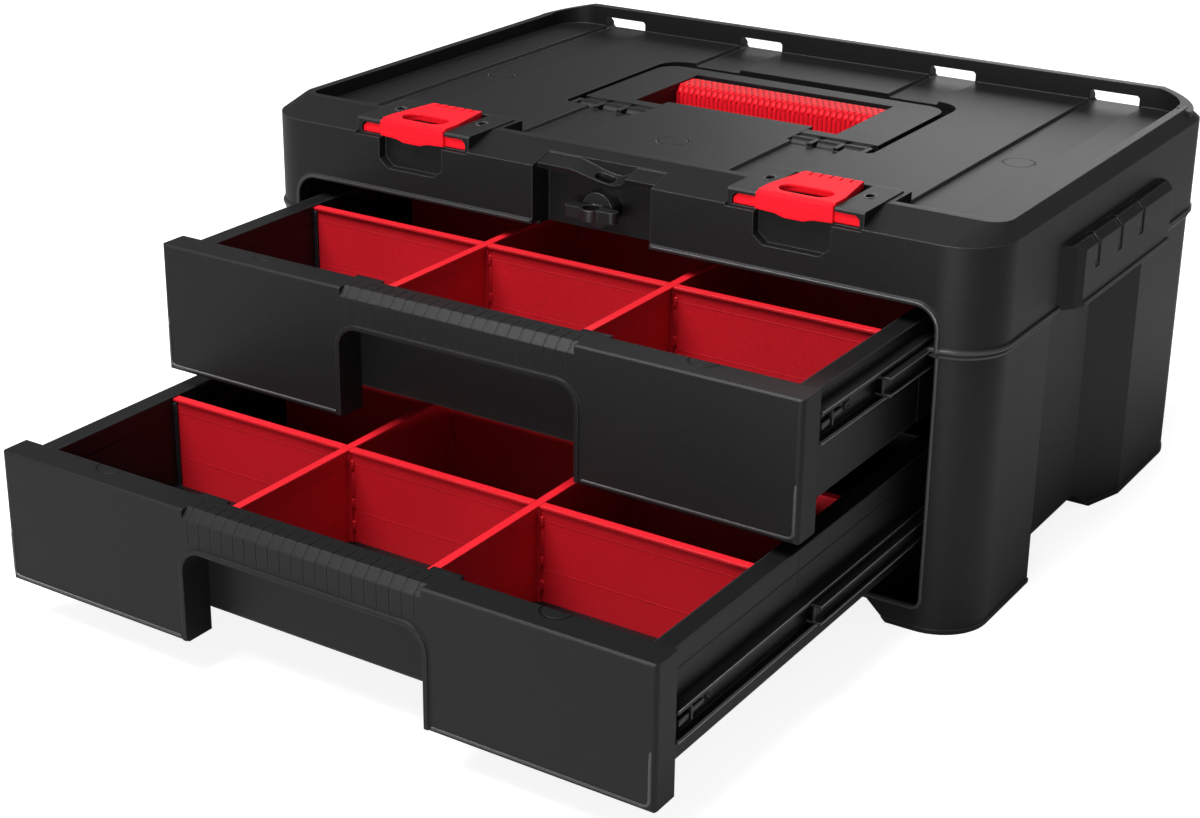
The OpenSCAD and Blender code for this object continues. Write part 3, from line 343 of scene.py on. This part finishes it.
def plated_steel(name, color, roughness):
    """Bright plated steel with a faint satin cloud."""
    f = Finish(name)
    rounded = f.soft_edges(0.0003)
    cloud = f.noise(400.0, 3.0)
    tone = f.mix(cloud.ramp(0.3, 0.7), shade(color, 0.86), shade(color))
    return f.surface(tone, roughness + cloud * 0.16, cloud, 0.00002, rounded, Metallic=1.0)


def divider_scores(f):
    """Two shallow lines along each red divider, where the halves of its mould met."""
    line = 0.0
    for level in LEVELS:
        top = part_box(f"{level}_divider_left")[1].z
        for drop in SCORE_DROPS:
            line = line + (1.0 - abs(f.z - (top - drop)).ramp(0.0, 0.0004))
    return line * 0.00012


def rim_step(f):
    """Shallow step along the trays' walls, below their rims."""
    step = 0.0
    for level in LEVELS:
        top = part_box(f"{level}_tray")[1].z
        step = step + f.z.ramp(top - RIM_STEP_LOW, top - RIM_STEP_HIGH) * f.z.below(top + 0.001)
    return step * 0.0003


# ---------------------------------------------------------------- mesh helpers

def keep(bm, name, material, body):
    """Turns a bmesh into a piece of the object."""
    bmesh.ops.recalc_face_normals(bm, faces=bm.faces)
    mesh = bpy.data.meshes.new(name)
    bm.to_mesh(mesh)
    bm.free()
    piece = bpy.data.objects.new(name, mesh)
    bpy.context.scene.collection.objects.link(piece)
    mesh.materials.append(bpy.data.materials[material])
    for polygon in mesh.polygons:
        polygon.use_smooth = True
    mesh.set_sharp_from_angle(angle=math.radians(SMOOTH_ANGLE))
    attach(piece, body)


def turned(bm, profile, centre, axis, steps):
    """Spins a half profile of (radius, height) points round an axis through centre."""
    before = set(bm.verts)
    across = axis.orthogonal().normalized()
    ring = [bm.verts.new(centre + across * r + axis * h) for r, h in profile]
    edges = [bm.edges.new((a, b)) for a, b in zip(ring, ring[1:])]
    bmesh.ops.spin(bm, geom=ring + edges, cent=centre, axis=axis, dvec=(0, 0, 0),
                   angle=2 * math.pi, steps=steps, use_merge=True)
    fresh = [v for v in bm.verts if v not in before]
    bmesh.ops.remove_doubles(bm, verts=fresh, dist=WELD)


def pan_head(bm, centre, axis, radius):
    """Low domed screw head with a round socket."""
    lift = radius * 0.42
    socket = radius * 0.42
    profile = [(0.0, lift * 0.45), (socket, lift * 0.45), (socket, lift), (radius * 0.72, lift * 0.92),
               (radius * 0.95, lift * 0.5), (radius, lift * 0.12), (radius, 0.0), (0.0, 0.0)]
    turned(bm, profile, centre, axis, 18)


def bar(bm, low, high, bevel):
    """Box between two corners with rounded edges."""
    made = bmesh.ops.create_cube(bm, size=1.0)["verts"]
    for v in made:
        v.co = Vector(tuple(low[i] if v.co[i] < 0 else high[i] for i in range(3)))
    if bevel > 0:
        edges = list(dict.fromkeys(e for v in made for e in v.link_edges))
        bmesh.ops.bevel(bm, geom=edges, offset=bevel, segments=2, profile=0.5, affect="EDGES", material=-1)


def cord(bm, path, radius, closed=False, sides=8):
    """Round strand along a path of points, mitred at its corners."""
    path = [Vector(p) for p in path]
    count = len(path)
    loops = []
    for i, point in enumerate(path):
        before = path[i - 1] if i or closed else None
        after = path[(i + 1) % count] if i + 1 < count or closed else None
        a = (point - before).normalized() if before is not None else (after - point).normalized()
        b = (after - point).normalized() if after is not None else a
        along = (a + b).normalized()
        stretch = 1.0 / max(along.dot(a), 0.5)
        normal = a.cross(b)
        if normal.length < WELD:
            normal = along.cross(side) if loops else along.orthogonal()
        normal = normal.normalized()
        if not loops:
            side = normal.cross(along).normalized()
        up = along.cross(side).normalized()
        side = up.cross(along).normalized()
        bend = b - a
        ring = []
        for k in range(sides):
            angle = 2 * math.pi * k / sides
            offset = side * math.cos(angle) * radius + up * math.sin(angle) * radius
            if bend.length > WELD:
                n = bend.normalized()
                offset += n * offset.dot(n) * (stretch - 1.0)
            ring.append(bm.verts.new(point + offset))
        loops.append([bm.edges.new((ring[k], ring[(k + 1) % sides])) for k in range(sides)])
    pairs = list(zip(loops, loops[1:]))
    if closed:
        pairs.append((loops[-1], loops[0]))
    for one, two in pairs:
        bmesh.ops.bridge_loops(bm, edges=one + two)
    if not closed:
        for loop in (loops[0], loops[-1]):
            bmesh.ops.edgeloop_fill(bm, edges=loop)


def mirrored(points):
    """A path's mirror image across the middle of the box."""
    return [(-x, y, z) for x, y, z in points]


# ---------------------------------------------------------------- settings

class ToolBoxFinishes(bpy.types.PropertyGroup):
    charcoal: bpy.props.FloatVectorProperty(
        name="Charcoal", description="Colour of the moulded shell and drawers",
        subtype="COLOR", size=3, min=0.0, max=1.0, default=(0.0072, 0.0072, 0.0077))
    trim: bpy.props.FloatVectorProperty(
        name="Trim", description="Colour of the lock's wing and the slides' levers",
        subtype="COLOR", size=3, min=0.0, max=1.0, default=(0.0085, 0.0086, 0.009))
    red: bpy.props.FloatVectorProperty(
        name="Red", description="Colour of the dividers",
        subtype="COLOR", size=3, min=0.0, max=1.0, default=(0.68, 0.012, 0.022))
    grip_red: bpy.props.FloatVectorProperty(
        name="Grip red", description="Colour of the soft grip and the latches",
        subtype="COLOR", size=3, min=0.0, max=1.0, default=(1.0, 0.008, 0.020))
    slide_black: bpy.props.FloatVectorProperty(
        name="Slide black", description="Coating of the telescopic slides",
        subtype="COLOR", size=3, min=0.0, max=1.0, default=(0.014, 0.0145, 0.016))
    shell_roughness: bpy.props.FloatProperty(
        name="Shell roughness", description="Roughness of the moulded shell", min=0.1, max=1.0, default=0.42)


class ToolBoxHardware(bpy.types.PropertyGroup):
    screw_radius: bpy.props.FloatProperty(
        name="Screw head radius", description="Radius of the slide screws' heads",
        unit="LENGTH", min=0.001, max=0.005, default=0.0031)
    groove_depth: bpy.props.FloatProperty(
        name="Groove depth", description="Depth of the grooves in the hand blocks",
        unit="LENGTH", min=0.0005, max=0.004, default=0.0007)
    screw_first: bpy.props.FloatProperty(
        name="First screw", description="Distance of the first screw from a slide's front end",
        unit="LENGTH", min=0.01, max=0.1, default=0.034)
    screw_pitch: bpy.props.FloatProperty(
        name="Screw pitch", description="Distance between the screws of a slide",
        unit="LENGTH", min=0.03, max=0.2, default=0.105)


class ToolBoxLatches(bpy.types.PropertyGroup):
    hole_length: bpy.props.FloatProperty(
        name="Finger hole length", description="Length of the finger hole",
        unit="LENGTH", min=0.02, max=0.04, default=0.031)
    hole_width: bpy.props.FloatProperty(
        name="Finger hole width", description="Width of the finger hole",
        unit="LENGTH", min=0.008, max=0.02, default=0.014)


class ToolBoxStage(bpy.types.PropertyGroup):
    floor_size: bpy.props.FloatProperty(
        name="Floor size", description="Width of the pale floor",
        unit="LENGTH", min=2.0, max=40.0, default=16.0)
    top_power: bpy.props.FloatProperty(
        name="Top light", description="Power of the large soft light overhead",
        unit="POWER", min=0.0, default=80.0)
    back_power: bpy.props.FloatProperty(
        name="Back light", description="Power of the soft light behind the box",
        unit="POWER", min=0.0, default=11.8)
    side_power: bpy.props.FloatProperty(
        name="Side light", description="Power of the soft light at the right",
        unit="POWER", min=0.0, default=0.1)
    front_power: bpy.props.FloatProperty(
        name="Front light", description="Power of the low soft light before the box",
        unit="POWER", min=0.0, default=42.0)
    sky: bpy.props.FloatProperty(
        name="Ambient", description="Brightness of the surroundings", min=0.0, max=1.0, default=0.20)


# ---------------------------------------------------------------- operators

class TOOLBOX_OT_camera(bpy.types.Operator):
    """Place the camera at the photograph's angle"""
    bl_idname = "toolbox.camera"
    bl_label = "Camera"

    def execute(self, context):
        around, up, roll = (math.radians(turn) for turn in (CAMERA_AROUND, CAMERA_UP, CAMERA_ROLL))
        back = Vector((math.sin(around) * math.cos(up), -math.cos(around) * math.cos(up), math.sin(up)))
        level_right = Vector((math.cos(around), math.sin(around), 0.0))
        level_above = back.cross(level_right)
        right = level_right * math.cos(roll) + level_above * math.sin(roll)
        above = level_above * math.cos(roll) - level_right * math.sin(roll)
        lens = bpy.data.cameras.new("camera")
        lens.sensor_width = SENSOR_WIDTH
        lens.lens = FOCAL_PIXELS * SENSOR_WIDTH / PHOTO_WIDTH
        lens.shift_x = (PHOTO_WIDTH / 2 - VIEW_CENTRE_X) / PHOTO_WIDTH
        lens.shift_y = (VIEW_CENTRE_Y - PHOTO_HEIGHT / 2) / PHOTO_WIDTH
        lens.clip_start, lens.clip_end = 0.01, 100.0
        camera = bpy.data.objects.new("camera", lens)
        context.scene.collection.objects.link(camera)
        turn = Matrix((right, above, back)).transposed().to_4x4()
        camera.matrix_world = Matrix.Translation(Vector(CAMERA_PLACE)) @ turn
        context.scene.camera = camera
        return {"FINISHED"}


class TOOLBOX_OT_stage(bpy.types.Operator):
    """Build the pale floor, the surroundings and the soft lights"""
    bl_idname = "toolbox.stage"
    bl_label = "Stage"

    def execute(self, context):
        s = context.scene.toolbox_stage
        context.scene.view_settings.view_transform = "Standard"
        bm = bmesh.new()
        bmesh.ops.create_grid(bm, x_segments=1, y_segments=1, size=s.floor_size / 2)
        mesh = bpy.data.meshes.new("floor")
        bm.to_mesh(mesh)
        bm.free()
        floor = bpy.data.objects.new("floor", mesh)
        context.scene.collection.objects.link(floor)
        mesh.materials.append(self.floor_paint())
        self.surroundings(context, s.sky)
        self.lamp(context, "top_light", s.top_power, (1.5, 1.2), (-0.4, -0.9, 2.2), (0.0, 0.0, 0.1))
        self.lamp(context, "back_light", s.back_power, (1.4, 1.3), (-0.5, 2.6, 1.1), (0.1, 0.0, 0.2))
        self.lamp(context, "side_light", s.side_power, (0.9, 1.8), (2.4, -0.5, 1.2), (0.1, 0.0, 0.15))
        self.lamp(context, "front_light", s.front_power, (1.6, 0.4), (0.5, -2.9, 0.25), (0.05, 0.0, 0.1))
        return {"FINISHED"}

    def floor_paint(self):
        """Grey floor that keeps its shadows and looks white to the camera."""
        f = Finish("pale_floor")
        paint = f.add("ShaderNodeBsdfDiffuse", inputs={"Color": FLOOR_GREY})
        glow = f.add("ShaderNodeEmission", inputs={"Color": WHITE, "Strength": FLOOR_GLOW})
        both = f.add("ShaderNodeAddShader", inputs={0: paint, 1: glow})
        seen = f.add("ShaderNodeLightPath", out="Is Camera Ray")
        f.close("ShaderNodeOutputMaterial", f.add("ShaderNodeMixShader", inputs={0: seen, 1: paint, 2: both}))
        return f.material

    def surroundings(self, context, strength):
        """Dim even light from all round that looks white to the camera."""
        world = bpy.data.worlds.new("surroundings")
        context.scene.world = world
        world.use_nodes = True
        s = Shading(world.node_tree)
        direct = s.add("ShaderNodeLightPath", out="Is Camera Ray")
        through = s.add("ShaderNodeLightPath", out="Is Transmission Ray")
        level = s.add("ShaderNodeMapRange", inputs={0: direct.most(through), 3: strength, 4: 1.0})
        background = s.add("ShaderNodeBackground", inputs={"Color": WHITE, "Strength": level})
        s.close("ShaderNodeOutputWorld", background)

    def lamp(self, context, name, power, size, place, target):
        """Soft rectangular light at a place, aimed at a target."""
        light = bpy.data.lights.new(name, "AREA")
        light.shape = "RECTANGLE"
        light.size, light.size_y = size
        light.energy = power
        lamp = bpy.data.objects.new(name, light)
        context.scene.collection.objects.link(lamp)
        aim = Vector(target) - Vector(place)
        turn = aim.to_track_quat("-Z", "Y").to_matrix().to_4x4()
        lamp.matrix_world = Matrix.Translation(Vector(place)) @ turn


class TOOLBOX_OT_finishes(bpy.types.Operator):
    """Give every moulded, pressed and turned part its finish"""
    bl_idname = "toolbox.finishes"
    bl_label = "Finishes"

    def execute(self, context):
        s = context.scene.toolbox_finishes
        rough = s.shell_roughness
        lid_marks = [(x, y, LID_MARK_RADIUS) for x, y in LID_MARKS]
        front_marks = []
        for level in LEVELS:
            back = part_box(f"{level}_fascia")[1].y
            front_marks += [(x, back, FRONT_MARK_RADIUS) for x in (-FRONT_MARK_X, FRONT_MARK_X)]
        # The beads' charcoal is made 4.8 times lighter: a painted highlight along the beads
        bead_highlight_tone = [4.8 * v for v in s.charcoal]
        moulded_plastic("moulded_charcoal", s.charcoal, rough, 0.00012)
        moulded_plastic("lid_charcoal", s.charcoal, rough, 0.00012, edge=0.0009, rings=lid_marks)
        moulded_plastic("front_charcoal", s.charcoal, rough, 0.00010, edge=0.0011, lift=4.0,
                        rings=front_marks)
        moulded_plastic("tray_charcoal", s.charcoal, rough - 0.04, 0.00008, edge=0.0016, extra=rim_step)
        # painted highlight: the lighter charcoal of the beads
        moulded_plastic("bead_highlight_charcoal", bead_highlight_tone, 0.30, 0.00004, lift=2.0, gleam=0.6)
        moulded_plastic("trim_black", s.trim, 0.34, 0.00006, gleam=0.5)
        moulded_plastic("divider_red", s.red, 0.40, 0.00006, lift=1.15, gleam=0.45, extra=divider_scores)
        moulded_plastic("latch_red", s.grip_red, 0.55, 0.00005, edge=0.0014, lift=1.0, gleam=0.12)
        coated_steel("slide_coating", s.slide_black)
        plated_steel("zinc_plating", (0.62, 0.62, 0.63), 0.26)
        plated_steel("edge_steel", (0.6, 0.6, 0.61), 0.3)
        grip_rubber("grip_rubber", s.grip_red, *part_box("handle_grip"))
        for name, piece in NODES.items():
            found = [finish for word, finish in FINISH_BY_WORD.items() if word in name]
            self.coat(piece, bpy.data.materials[found[0] if found else "moulded_charcoal"])
        return {"FINISHED"}

    def coat(self, piece, paint):
        if not piece.material_slots:
            piece.data.materials.append(paint)
        for slot in piece.material_slots:
            slot.material = paint


class TOOLBOX_OT_drawer_trim(bpy.types.Operator):
    """Add the beads of the drawer fronts and the stops behind them"""
    bl_idname = "toolbox.drawer_trim"
    bl_label = "Drawer trim"

    def execute(self, context):
        for level in LEVELS:
            low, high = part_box(f"{level}_fascia")
            self.beads(level, low, high)
            self.stops(level, high)
        return {"FINISHED"}

    def beads(self, level, low, high):
        """Beads along the outer edges of a front and round its hand opening."""
        face = low.y + 1.15 * MM
        edge, foot = high.x - 2.6 * MM, low.z + 2.6 * MM
        corner = [(edge, face + 0.9 * MM, foot + 30 * MM), (edge, face, foot + 24 * MM),
                  (edge, face, foot + 3 * MM), (edge - 0.9 * MM, face, foot + 0.9 * MM),
                  (edge - 3 * MM, face, foot), (79 * MM, face, foot)]
        bm = bmesh.new()
        for path in (corner, mirrored(corner)):
            cord(bm, path, 0.8 * MM)
        pull = low.y + 0.75 * MM
        centre_x, centre_z = PULL_HALF - PULL_CORNER, high.z - PULL_DROP - PULL_CORNER
        arch = [(PULL_HALF, pull, foot - 1.5 * MM)]
        for k in range(9):
            angle = math.pi / 2 * k / 8.0
            arch.append((centre_x + PULL_CORNER * math.cos(angle), pull,
                         centre_z + PULL_CORNER * math.sin(angle)))
        cord(bm, arch + mirrored(reversed(arch)), 0.7 * MM)
        # the beads are real, their lighter charcoal is a painted highlight
        keep(bm, f"{level}_front_beads", "bead_highlight_charcoal", f"{level}_drawer")

    def stops(self, level, high):
        """Two low blocks behind a front's upper edge."""
        bm = bmesh.new()
        for x in (-70 * MM, 74 * MM):
            bar(bm, (x - 9 * MM, high.y - 1 * MM, high.z - 3.2 * MM),
                (x + 9 * MM, high.y + 4.5 * MM, high.z - 0.1 * MM), 0.8 * MM)
        keep(bm, f"{level}_front_trim", "front_charcoal", f"{level}_drawer")


class TOOLBOX_OT_divider_clips(bpy.types.Operator):
    """Add the knuckles that join the red cross panels to the long dividers"""
    bl_idname = "toolbox.divider_clips"
    bl_label = "Divider clips"

    def execute(self, context):
        for level in LEVELS:
            bm = bmesh.new()
            for number in range(1, 2 * PANELS_IN_ROW + 1):
                low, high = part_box(f"{level}_panel_{number}")
                if number % PANELS_IN_ROW != 1:
                    self.knuckles(bm, low, high, low.x, 1.0)
                if number % PANELS_IN_ROW != 0:
                    self.knuckles(bm, low, high, high.x, -1.0)
            keep(bm, f"{level}_divider_clips", "divider_red", f"{level}_drawer")
        return {"FINISHED"}

    def knuckles(self, bm, low, high, x, inward):
        """Short and long knuckles one above the other at one end of a panel."""
        y = (low.y + high.y) / 2
        top = high.z - CLIP_TOP
        near, far = sorted((x + inward * 0.2 * MM, x + inward * 3.4 * MM))
        for upper, lower in CLIP_SPANS:
            proud = 2.0 * MM if lower - upper < 0.01 else 1.5 * MM
            bar(bm, (near, y - proud, top - lower), (far, y + proud, top - upper), 0.3 * MM)


class TOOLBOX_OT_latch_trim(bpy.types.Operator):
    """Add the rims and waves of the stacking latches and the rims of the small holes beside them"""
    bl_idname = "toolbox.latch_trim"
    bl_label = "Latch trim"

    def execute(self, context):
        s = context.scene.toolbox_latches
        for side, _ in SIDES:
            low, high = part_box(f"latch_{side}")
            x = (low.x + high.x) / 2
            bm = bmesh.new()
            self.finger_rim(bm, x, low.y + 13.5 * MM, high.z - 1.1 * MM, s)
            self.waves(bm, x, low.y + 0.45 * MM, high.z)
            keep(bm, f"latch_trim_{side}", "latch_red", f"stack_latch_{side}")
            self.seat_rims(side, x)
        return {"FINISHED"}

    def finger_rim(self, bm, x, y, z, s):
        """Raised rim round the finger hole."""
        half_length, radius = s.hole_length / 2 + 1.0 * MM, s.hole_width / 2 + 1.0 * MM
        rim = []
        for end in (1.0, -1.0):
            centre = x + end * (half_length - radius)
            for k in range(9):
                angle = math.pi * (k / 8.0 - 0.5) * end
                rim.append((centre + end * radius * math.cos(angle), y + radius * math.sin(angle), z))
        cord(bm, rim, 1.1 * MM, closed=True)

    def waves(self, bm, x, y, top):
        """Three sagging ridges on the front."""
        for drop, sag in LATCH_WAVES:
            ridge = []
            for k in range(9):
                u = k / 8.0 * 2.0 - 1.0
                ridge.append((x + u * 17.0 * MM, y, top - (drop + sag * (1.0 - u * u)) * MM))
            cord(bm, ridge, 0.55 * MM)

    def seat_rims(self, side, x):
        """Rims round the two oval holes of a seat."""
        low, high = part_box(f"seat_{side}")
        bm = bmesh.new()
        y, z = low.y + 27.4 * MM, high.z - 0.1 * MM
        for hole in (-29.5 * MM, 29.5 * MM):
            oval = []
            for k in range(16):
                angle = 2 * math.pi * k / 16.0
                oval.append((x + hole + 2.7 * MM * math.cos(angle), y + 4.2 * MM * math.sin(angle), z))
            cord(bm, oval, 0.45 * MM, closed=True, sides=6)
        # the rims are real, their lighter charcoal is a painted highlight
        keep(bm, f"seat_rims_{side}", "bead_highlight_charcoal", "case")


class TOOLBOX_OT_hand_grooves(bpy.types.Operator):
    """Shape the bottoms of the grooves in the hand blocks and add painted glints along their tops"""
    bl_idname = "toolbox.hand_grooves"
    bl_label = "Hand grooves"

    def execute(self, context):
        s = context.scene.toolbox_hardware
        low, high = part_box("cover")
        out, foot = high.x - 1.0 * MM, low.z + 18.0 * MM
        root, face, slope = out - 8.0 * MM, out - s.groove_depth, out - 4.4 * MM
        outline = [(root, foot + 0.1 * MM), (face, foot + 0.1 * MM), (face, foot + 13.4 * MM),
                   (slope, foot + 17.4 * MM), (root, foot + 17.4 * MM)]
        bottoms, glints = bmesh.new(), bmesh.new()
        for side in (-1.0, 1.0):
            for step in (-1, 0, 1):
                y = low.y + GROOVE_MIDDLE + step * GROOVE_PITCH
                end = [bottoms.verts.new((side * x, y - GROOVE_HALF, z)) for x, z in outline]
                end = bottoms.faces.new(end)
                grown = bmesh.ops.extrude_face_region(bottoms, geom=[end])["geom"]
                grown = [v for v in grown if isinstance(v, bmesh.types.BMVert)]
                bmesh.ops.translate(bottoms, vec=(0.0, 2 * GROOVE_HALF, 0.0), verts=grown)
                near, far = sorted((side * (face - 0.3 * MM), side * (out - 0.3 * MM)))
                bar(bottoms, (near, y - 1.6 * MM, foot + 0.4 * MM),
                    (far, y + 1.6 * MM, foot + 2.4 * MM), 0.3 * MM)
                # painted glints: light strips along the slanted top of each groove
                for glint_y in (y - 2.3 * MM, y + 2.3 * MM):
                    cord(glints, [(side * (out - 0.6 * MM), glint_y, foot + 12.6 * MM),
                                (side * slope, glint_y, foot + 17.6 * MM)], 0.6 * MM)
        keep(bottoms, "hand_grooves", "lid_charcoal", "case")
        # the light strips are painted glints along the grooves' tops
        keep(glints, "groove_glints", "bead_highlight_charcoal", "case")
        return {"FINISHED"}


class TOOLBOX_OT_case_trim(bpy.types.Operator):
    """Add the beads of the shell, the screws under it and the slats of the drain slots"""
    bl_idname = "toolbox.case_trim"
    bl_label = "Case trim"

    def execute(self, context):
        low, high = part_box("base")
        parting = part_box("cover")[0].z
        self.beads(low, high, parting)
        self.screws(low)
        self.slats((low.y + high.y) / 2 + DRAIN_BEHIND)
        return {"FINISHED"}

    def beads(self, low, high, parting):
        """Beads round the drawer opening, along the parting line and on the back."""
        start, end = low.y - 0.5 * MM, high.y + 0.5 * MM
        front, edge, sill = low.y + 0.9 * MM, OPENING_HALF, OPENING_SILL
        over, under = parting + 1.3 * MM, parting - 1.8 * MM
        opening = [(edge, front, parting - 1 * MM), (edge, front, sill + 5 * MM),
                   (edge - 1.5 * MM, front, sill + 1.5 * MM), (edge - 5 * MM, front, sill),
                   (0.0, front, sill)]
        lines = (
            (opening, 1.0 * MM),
            (self.arch(start - 0.5 * MM, parting), 0.9 * MM),
            (self.round_corner(start, over, -0.2 * MM, 93.0 * MM), 1.3 * MM),
            (self.round_corner(start, under, 0.9 * MM, 87.0 * MM), 1.2 * MM),
            (self.behind_block(start + 247 * MM, end - 28 * MM, over, 0.2 * MM), 1.1 * MM),
            (self.behind_block(start + 231 * MM, end - 28 * MM, under, 0.9 * MM), 1.1 * MM),
        )
        bm = bmesh.new()
        for line, radius in lines:
            for path in (line, mirrored(line)):
                cord(bm, path, radius)
        back = end - 1.6 * MM
        half, foot, top, cut = 176.0 * MM, 26.0 * MM, parting - 16.0 * MM, 10.0 * MM
        outline = [(half, foot + cut), (half, top - cut), (half - cut, top), (cut - half, top),
                   (-half, top - cut), (-half, foot + cut), (cut - half, foot), (half - cut, foot)]
        cord(bm, [(x, back, z) for x, z in outline], 1.1 * MM, closed=True)
        # the beads are real, their lighter charcoal is a painted highlight
        keep(bm, "case_beads", "bead_highlight_charcoal", "case")

    def arch(self, y, parting):
        """Upper half of the opening's edge, from the lock's housing to the parting line."""
        edge, top, radius = OPENING_HALF + 0.1 * MM, parting + 24.7 * MM, 13.3 * MM
        points = [(LOCK_HOUSING_HALF, y, top)]
        for k in range(7):
            angle = math.pi / 2 * (1.0 - k / 6.0)
            points.append((edge - radius + radius * math.cos(angle), y,
                           top - radius + radius * math.sin(angle)))
        return points + [(edge, y, parting)]

    def round_corner(self, start, z, inset, stop):
        """Level line from the drawer opening round a front corner to a point on the side."""
        radius = SHELL_CORNER - inset
        points = [(OPENING_HALF + 1.9 * MM, start + inset, z)]
        for k in range(13):
            angle = math.pi / 2 * (k / 12.0 - 1.0)
            points.append((SHELL_HALF - SHELL_CORNER + radius * math.cos(angle),
                           start + SHELL_CORNER + radius * math.sin(angle), z))
        return points + [(SHELL_HALF - inset, start + stop, z)]

    def behind_block(self, first, last, z, inset):
        """Level line along the side, behind the hand block."""
        return [(SHELL_HALF - inset, y, z) for y in (first, last)]

    def screws(self, low):
        """Four screws in the underside."""
        bm = bmesh.new()
        for x in (-CASE_SCREW_X, CASE_SCREW_X):
            for y in CASE_SCREW_Y:
                place = Vector((x, low.y + y, FLOOR_BOTTOM))
                pan_head(bm, place, Vector((0.0, 0.0, -1.0)), CASE_SCREW_RADIUS)
        keep(bm, "case_screws", "zinc_plating", "case")

    def slats(self, middle):
        """Three thin slats across each drain slot of the floor."""
        bm = bmesh.new()
        for x in (-DRAIN_PITCH, 0.0, DRAIN_PITCH):
            for y in (middle - 2.0 * MM, middle, middle + 2.0 * MM):
                bar(bm, (x - DRAIN_HALF, y - 0.35 * MM, FLOOR_BOTTOM + 0.1 * MM),
                    (x + DRAIN_HALF, y + 0.35 * MM, FLOOR_BOTTOM + 2.9 * MM), 0.0)
        keep(bm, "drain_slats", "moulded_charcoal", "case")


class TOOLBOX_OT_slide_screws(bpy.types.Operator):
    """Add the screws, levers, brackets and rolled edges of the telescopic slides"""
    bl_idname = "toolbox.slide_screws"
    bl_label = "Slide screws"

    def execute(self, context):
        s = context.scene.toolbox_hardware
        for level in LEVELS:
            for side, out in SIDES:
                low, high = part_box(f"{level}_runner_{side}")
                web = low.x + WEB_THICKNESS if out > 0 else high.x - WEB_THICKNESS
                mid = (low.z + high.z) / 2
                bm = bmesh.new()
                y = low.y + s.screw_first
                while y < high.y - 0.01:
                    pan_head(bm, Vector((web, y, mid)), Vector((out, 0.0, 0.0)), s.screw_radius)
                    y += s.screw_pitch
                keep(bm, f"{level}_runner_screws_{side}", "slide_coating", f"{level}_drawer")
                self.lever(level, side, out, web, low.y, mid)
                self.edges(level, side, out)
        return {"FINISHED"}

    def lever(self, level, side, out, web, front, mid):
        """Plastic release lever in the drawer member, with its pressed bracket."""
        bm = bmesh.new()
        near, far = sorted((web - out * 0.2 * MM, web + out * 2.2 * MM))
        bar(bm, (near, front + 5 * MM, mid - 3.2 * MM), (far, front + 14 * MM, mid + 0.6 * MM), 0.6 * MM)
        bar(bm, (near, front + 16.5 * MM, mid - 1.4 * MM), (far, front + 27 * MM, mid + 1.8 * MM), 0.6 * MM)
        keep(bm, f"{level}_lever_{side}", "trim_black", f"{level}_drawer")
        bm = bmesh.new()
        near, far = sorted((web, web + out * 3.0 * MM))
        bar(bm, (near, front + 14.6 * MM, mid - 3.8 * MM), (far, front + 15.8 * MM, mid + 3.8 * MM), 0.3 * MM)
        keep(bm, f"{level}_bracket_{side}", "slide_coating", f"{level}_drawer")

    def edges(self, level, side, out):
        """Bright rolled edges along the lips of the drawer and middle members."""
        members = (
            ("runner", f"{level}_drawer", 0.25 * MM, 0.3 * MM, 0.36 * MM),
            ("mid", f"{level}_middle_{side}", 0.2 * MM, 0.25 * MM, 0.3 * MM),
        )
        for member, body, inset, drop, radius in members:
            low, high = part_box(f"{level}_{member}_{side}")
            x = high.x - inset if out > 0 else low.x + inset
            bm = bmesh.new()
            for z in (high.z - drop, low.z + drop):
                cord(bm, [(x, low.y + 0.3 * MM, z), (x, high.y - 0.3 * MM, z)], radius, sides=6)
            keep(bm, f"{level}_{member}_edges_{side}", "edge_steel", body)


class TOOLBOX_PT_panel(bpy.types.Panel):
    """Lists the steps that dress the tool box"""
    bl_idname = "TOOLBOX_PT_panel"
    bl_label = "Tool box"
    bl_space_type = "VIEW_3D"
    bl_region_type = "UI"
    bl_category = "Tool box"

    def draw(self, context):
        for step in STEPS:
            self.layout.operator(step.bl_idname)


STEPS = (
    TOOLBOX_OT_camera,
    TOOLBOX_OT_stage,
    TOOLBOX_OT_finishes,
    TOOLBOX_OT_drawer_trim,
    TOOLBOX_OT_divider_clips,
    TOOLBOX_OT_latch_trim,
    TOOLBOX_OT_hand_grooves,
    TOOLBOX_OT_case_trim,
    TOOLBOX_OT_slide_screws,
)
CLASSES = (ToolBoxFinishes, ToolBoxHardware, ToolBoxLatches, ToolBoxStage) + STEPS + (TOOLBOX_PT_panel,)


def register():
    for cls in CLASSES:
        bpy.utils.register_class(cls)
    bpy.types.Scene.toolbox_finishes = bpy.props.PointerProperty(type=ToolBoxFinishes)
    bpy.types.Scene.toolbox_hardware = bpy.props.PointerProperty(type=ToolBoxHardware)
    bpy.types.Scene.toolbox_latches = bpy.props.PointerProperty(type=ToolBoxLatches)
    bpy.types.Scene.toolbox_stage = bpy.props.PointerProperty(type=ToolBoxStage)


def unregister():
    del bpy.types.Scene.toolbox_stage
    del bpy.types.Scene.toolbox_latches
    del bpy.types.Scene.toolbox_hardware
    del bpy.types.Scene.toolbox_finishes
    for cls in reversed(CLASSES):
        bpy.utils.unregister_class(cls)


def main():
    register()
    for step in STEPS:
        group, name = step.bl_idname.split(".")
        result = getattr(getattr(bpy.ops, group), name)()
        if result != {"FINISHED"}:
            raise RuntimeError(f"{step.bl_label} did not finish")


if __name__ == "__main__":
    main()
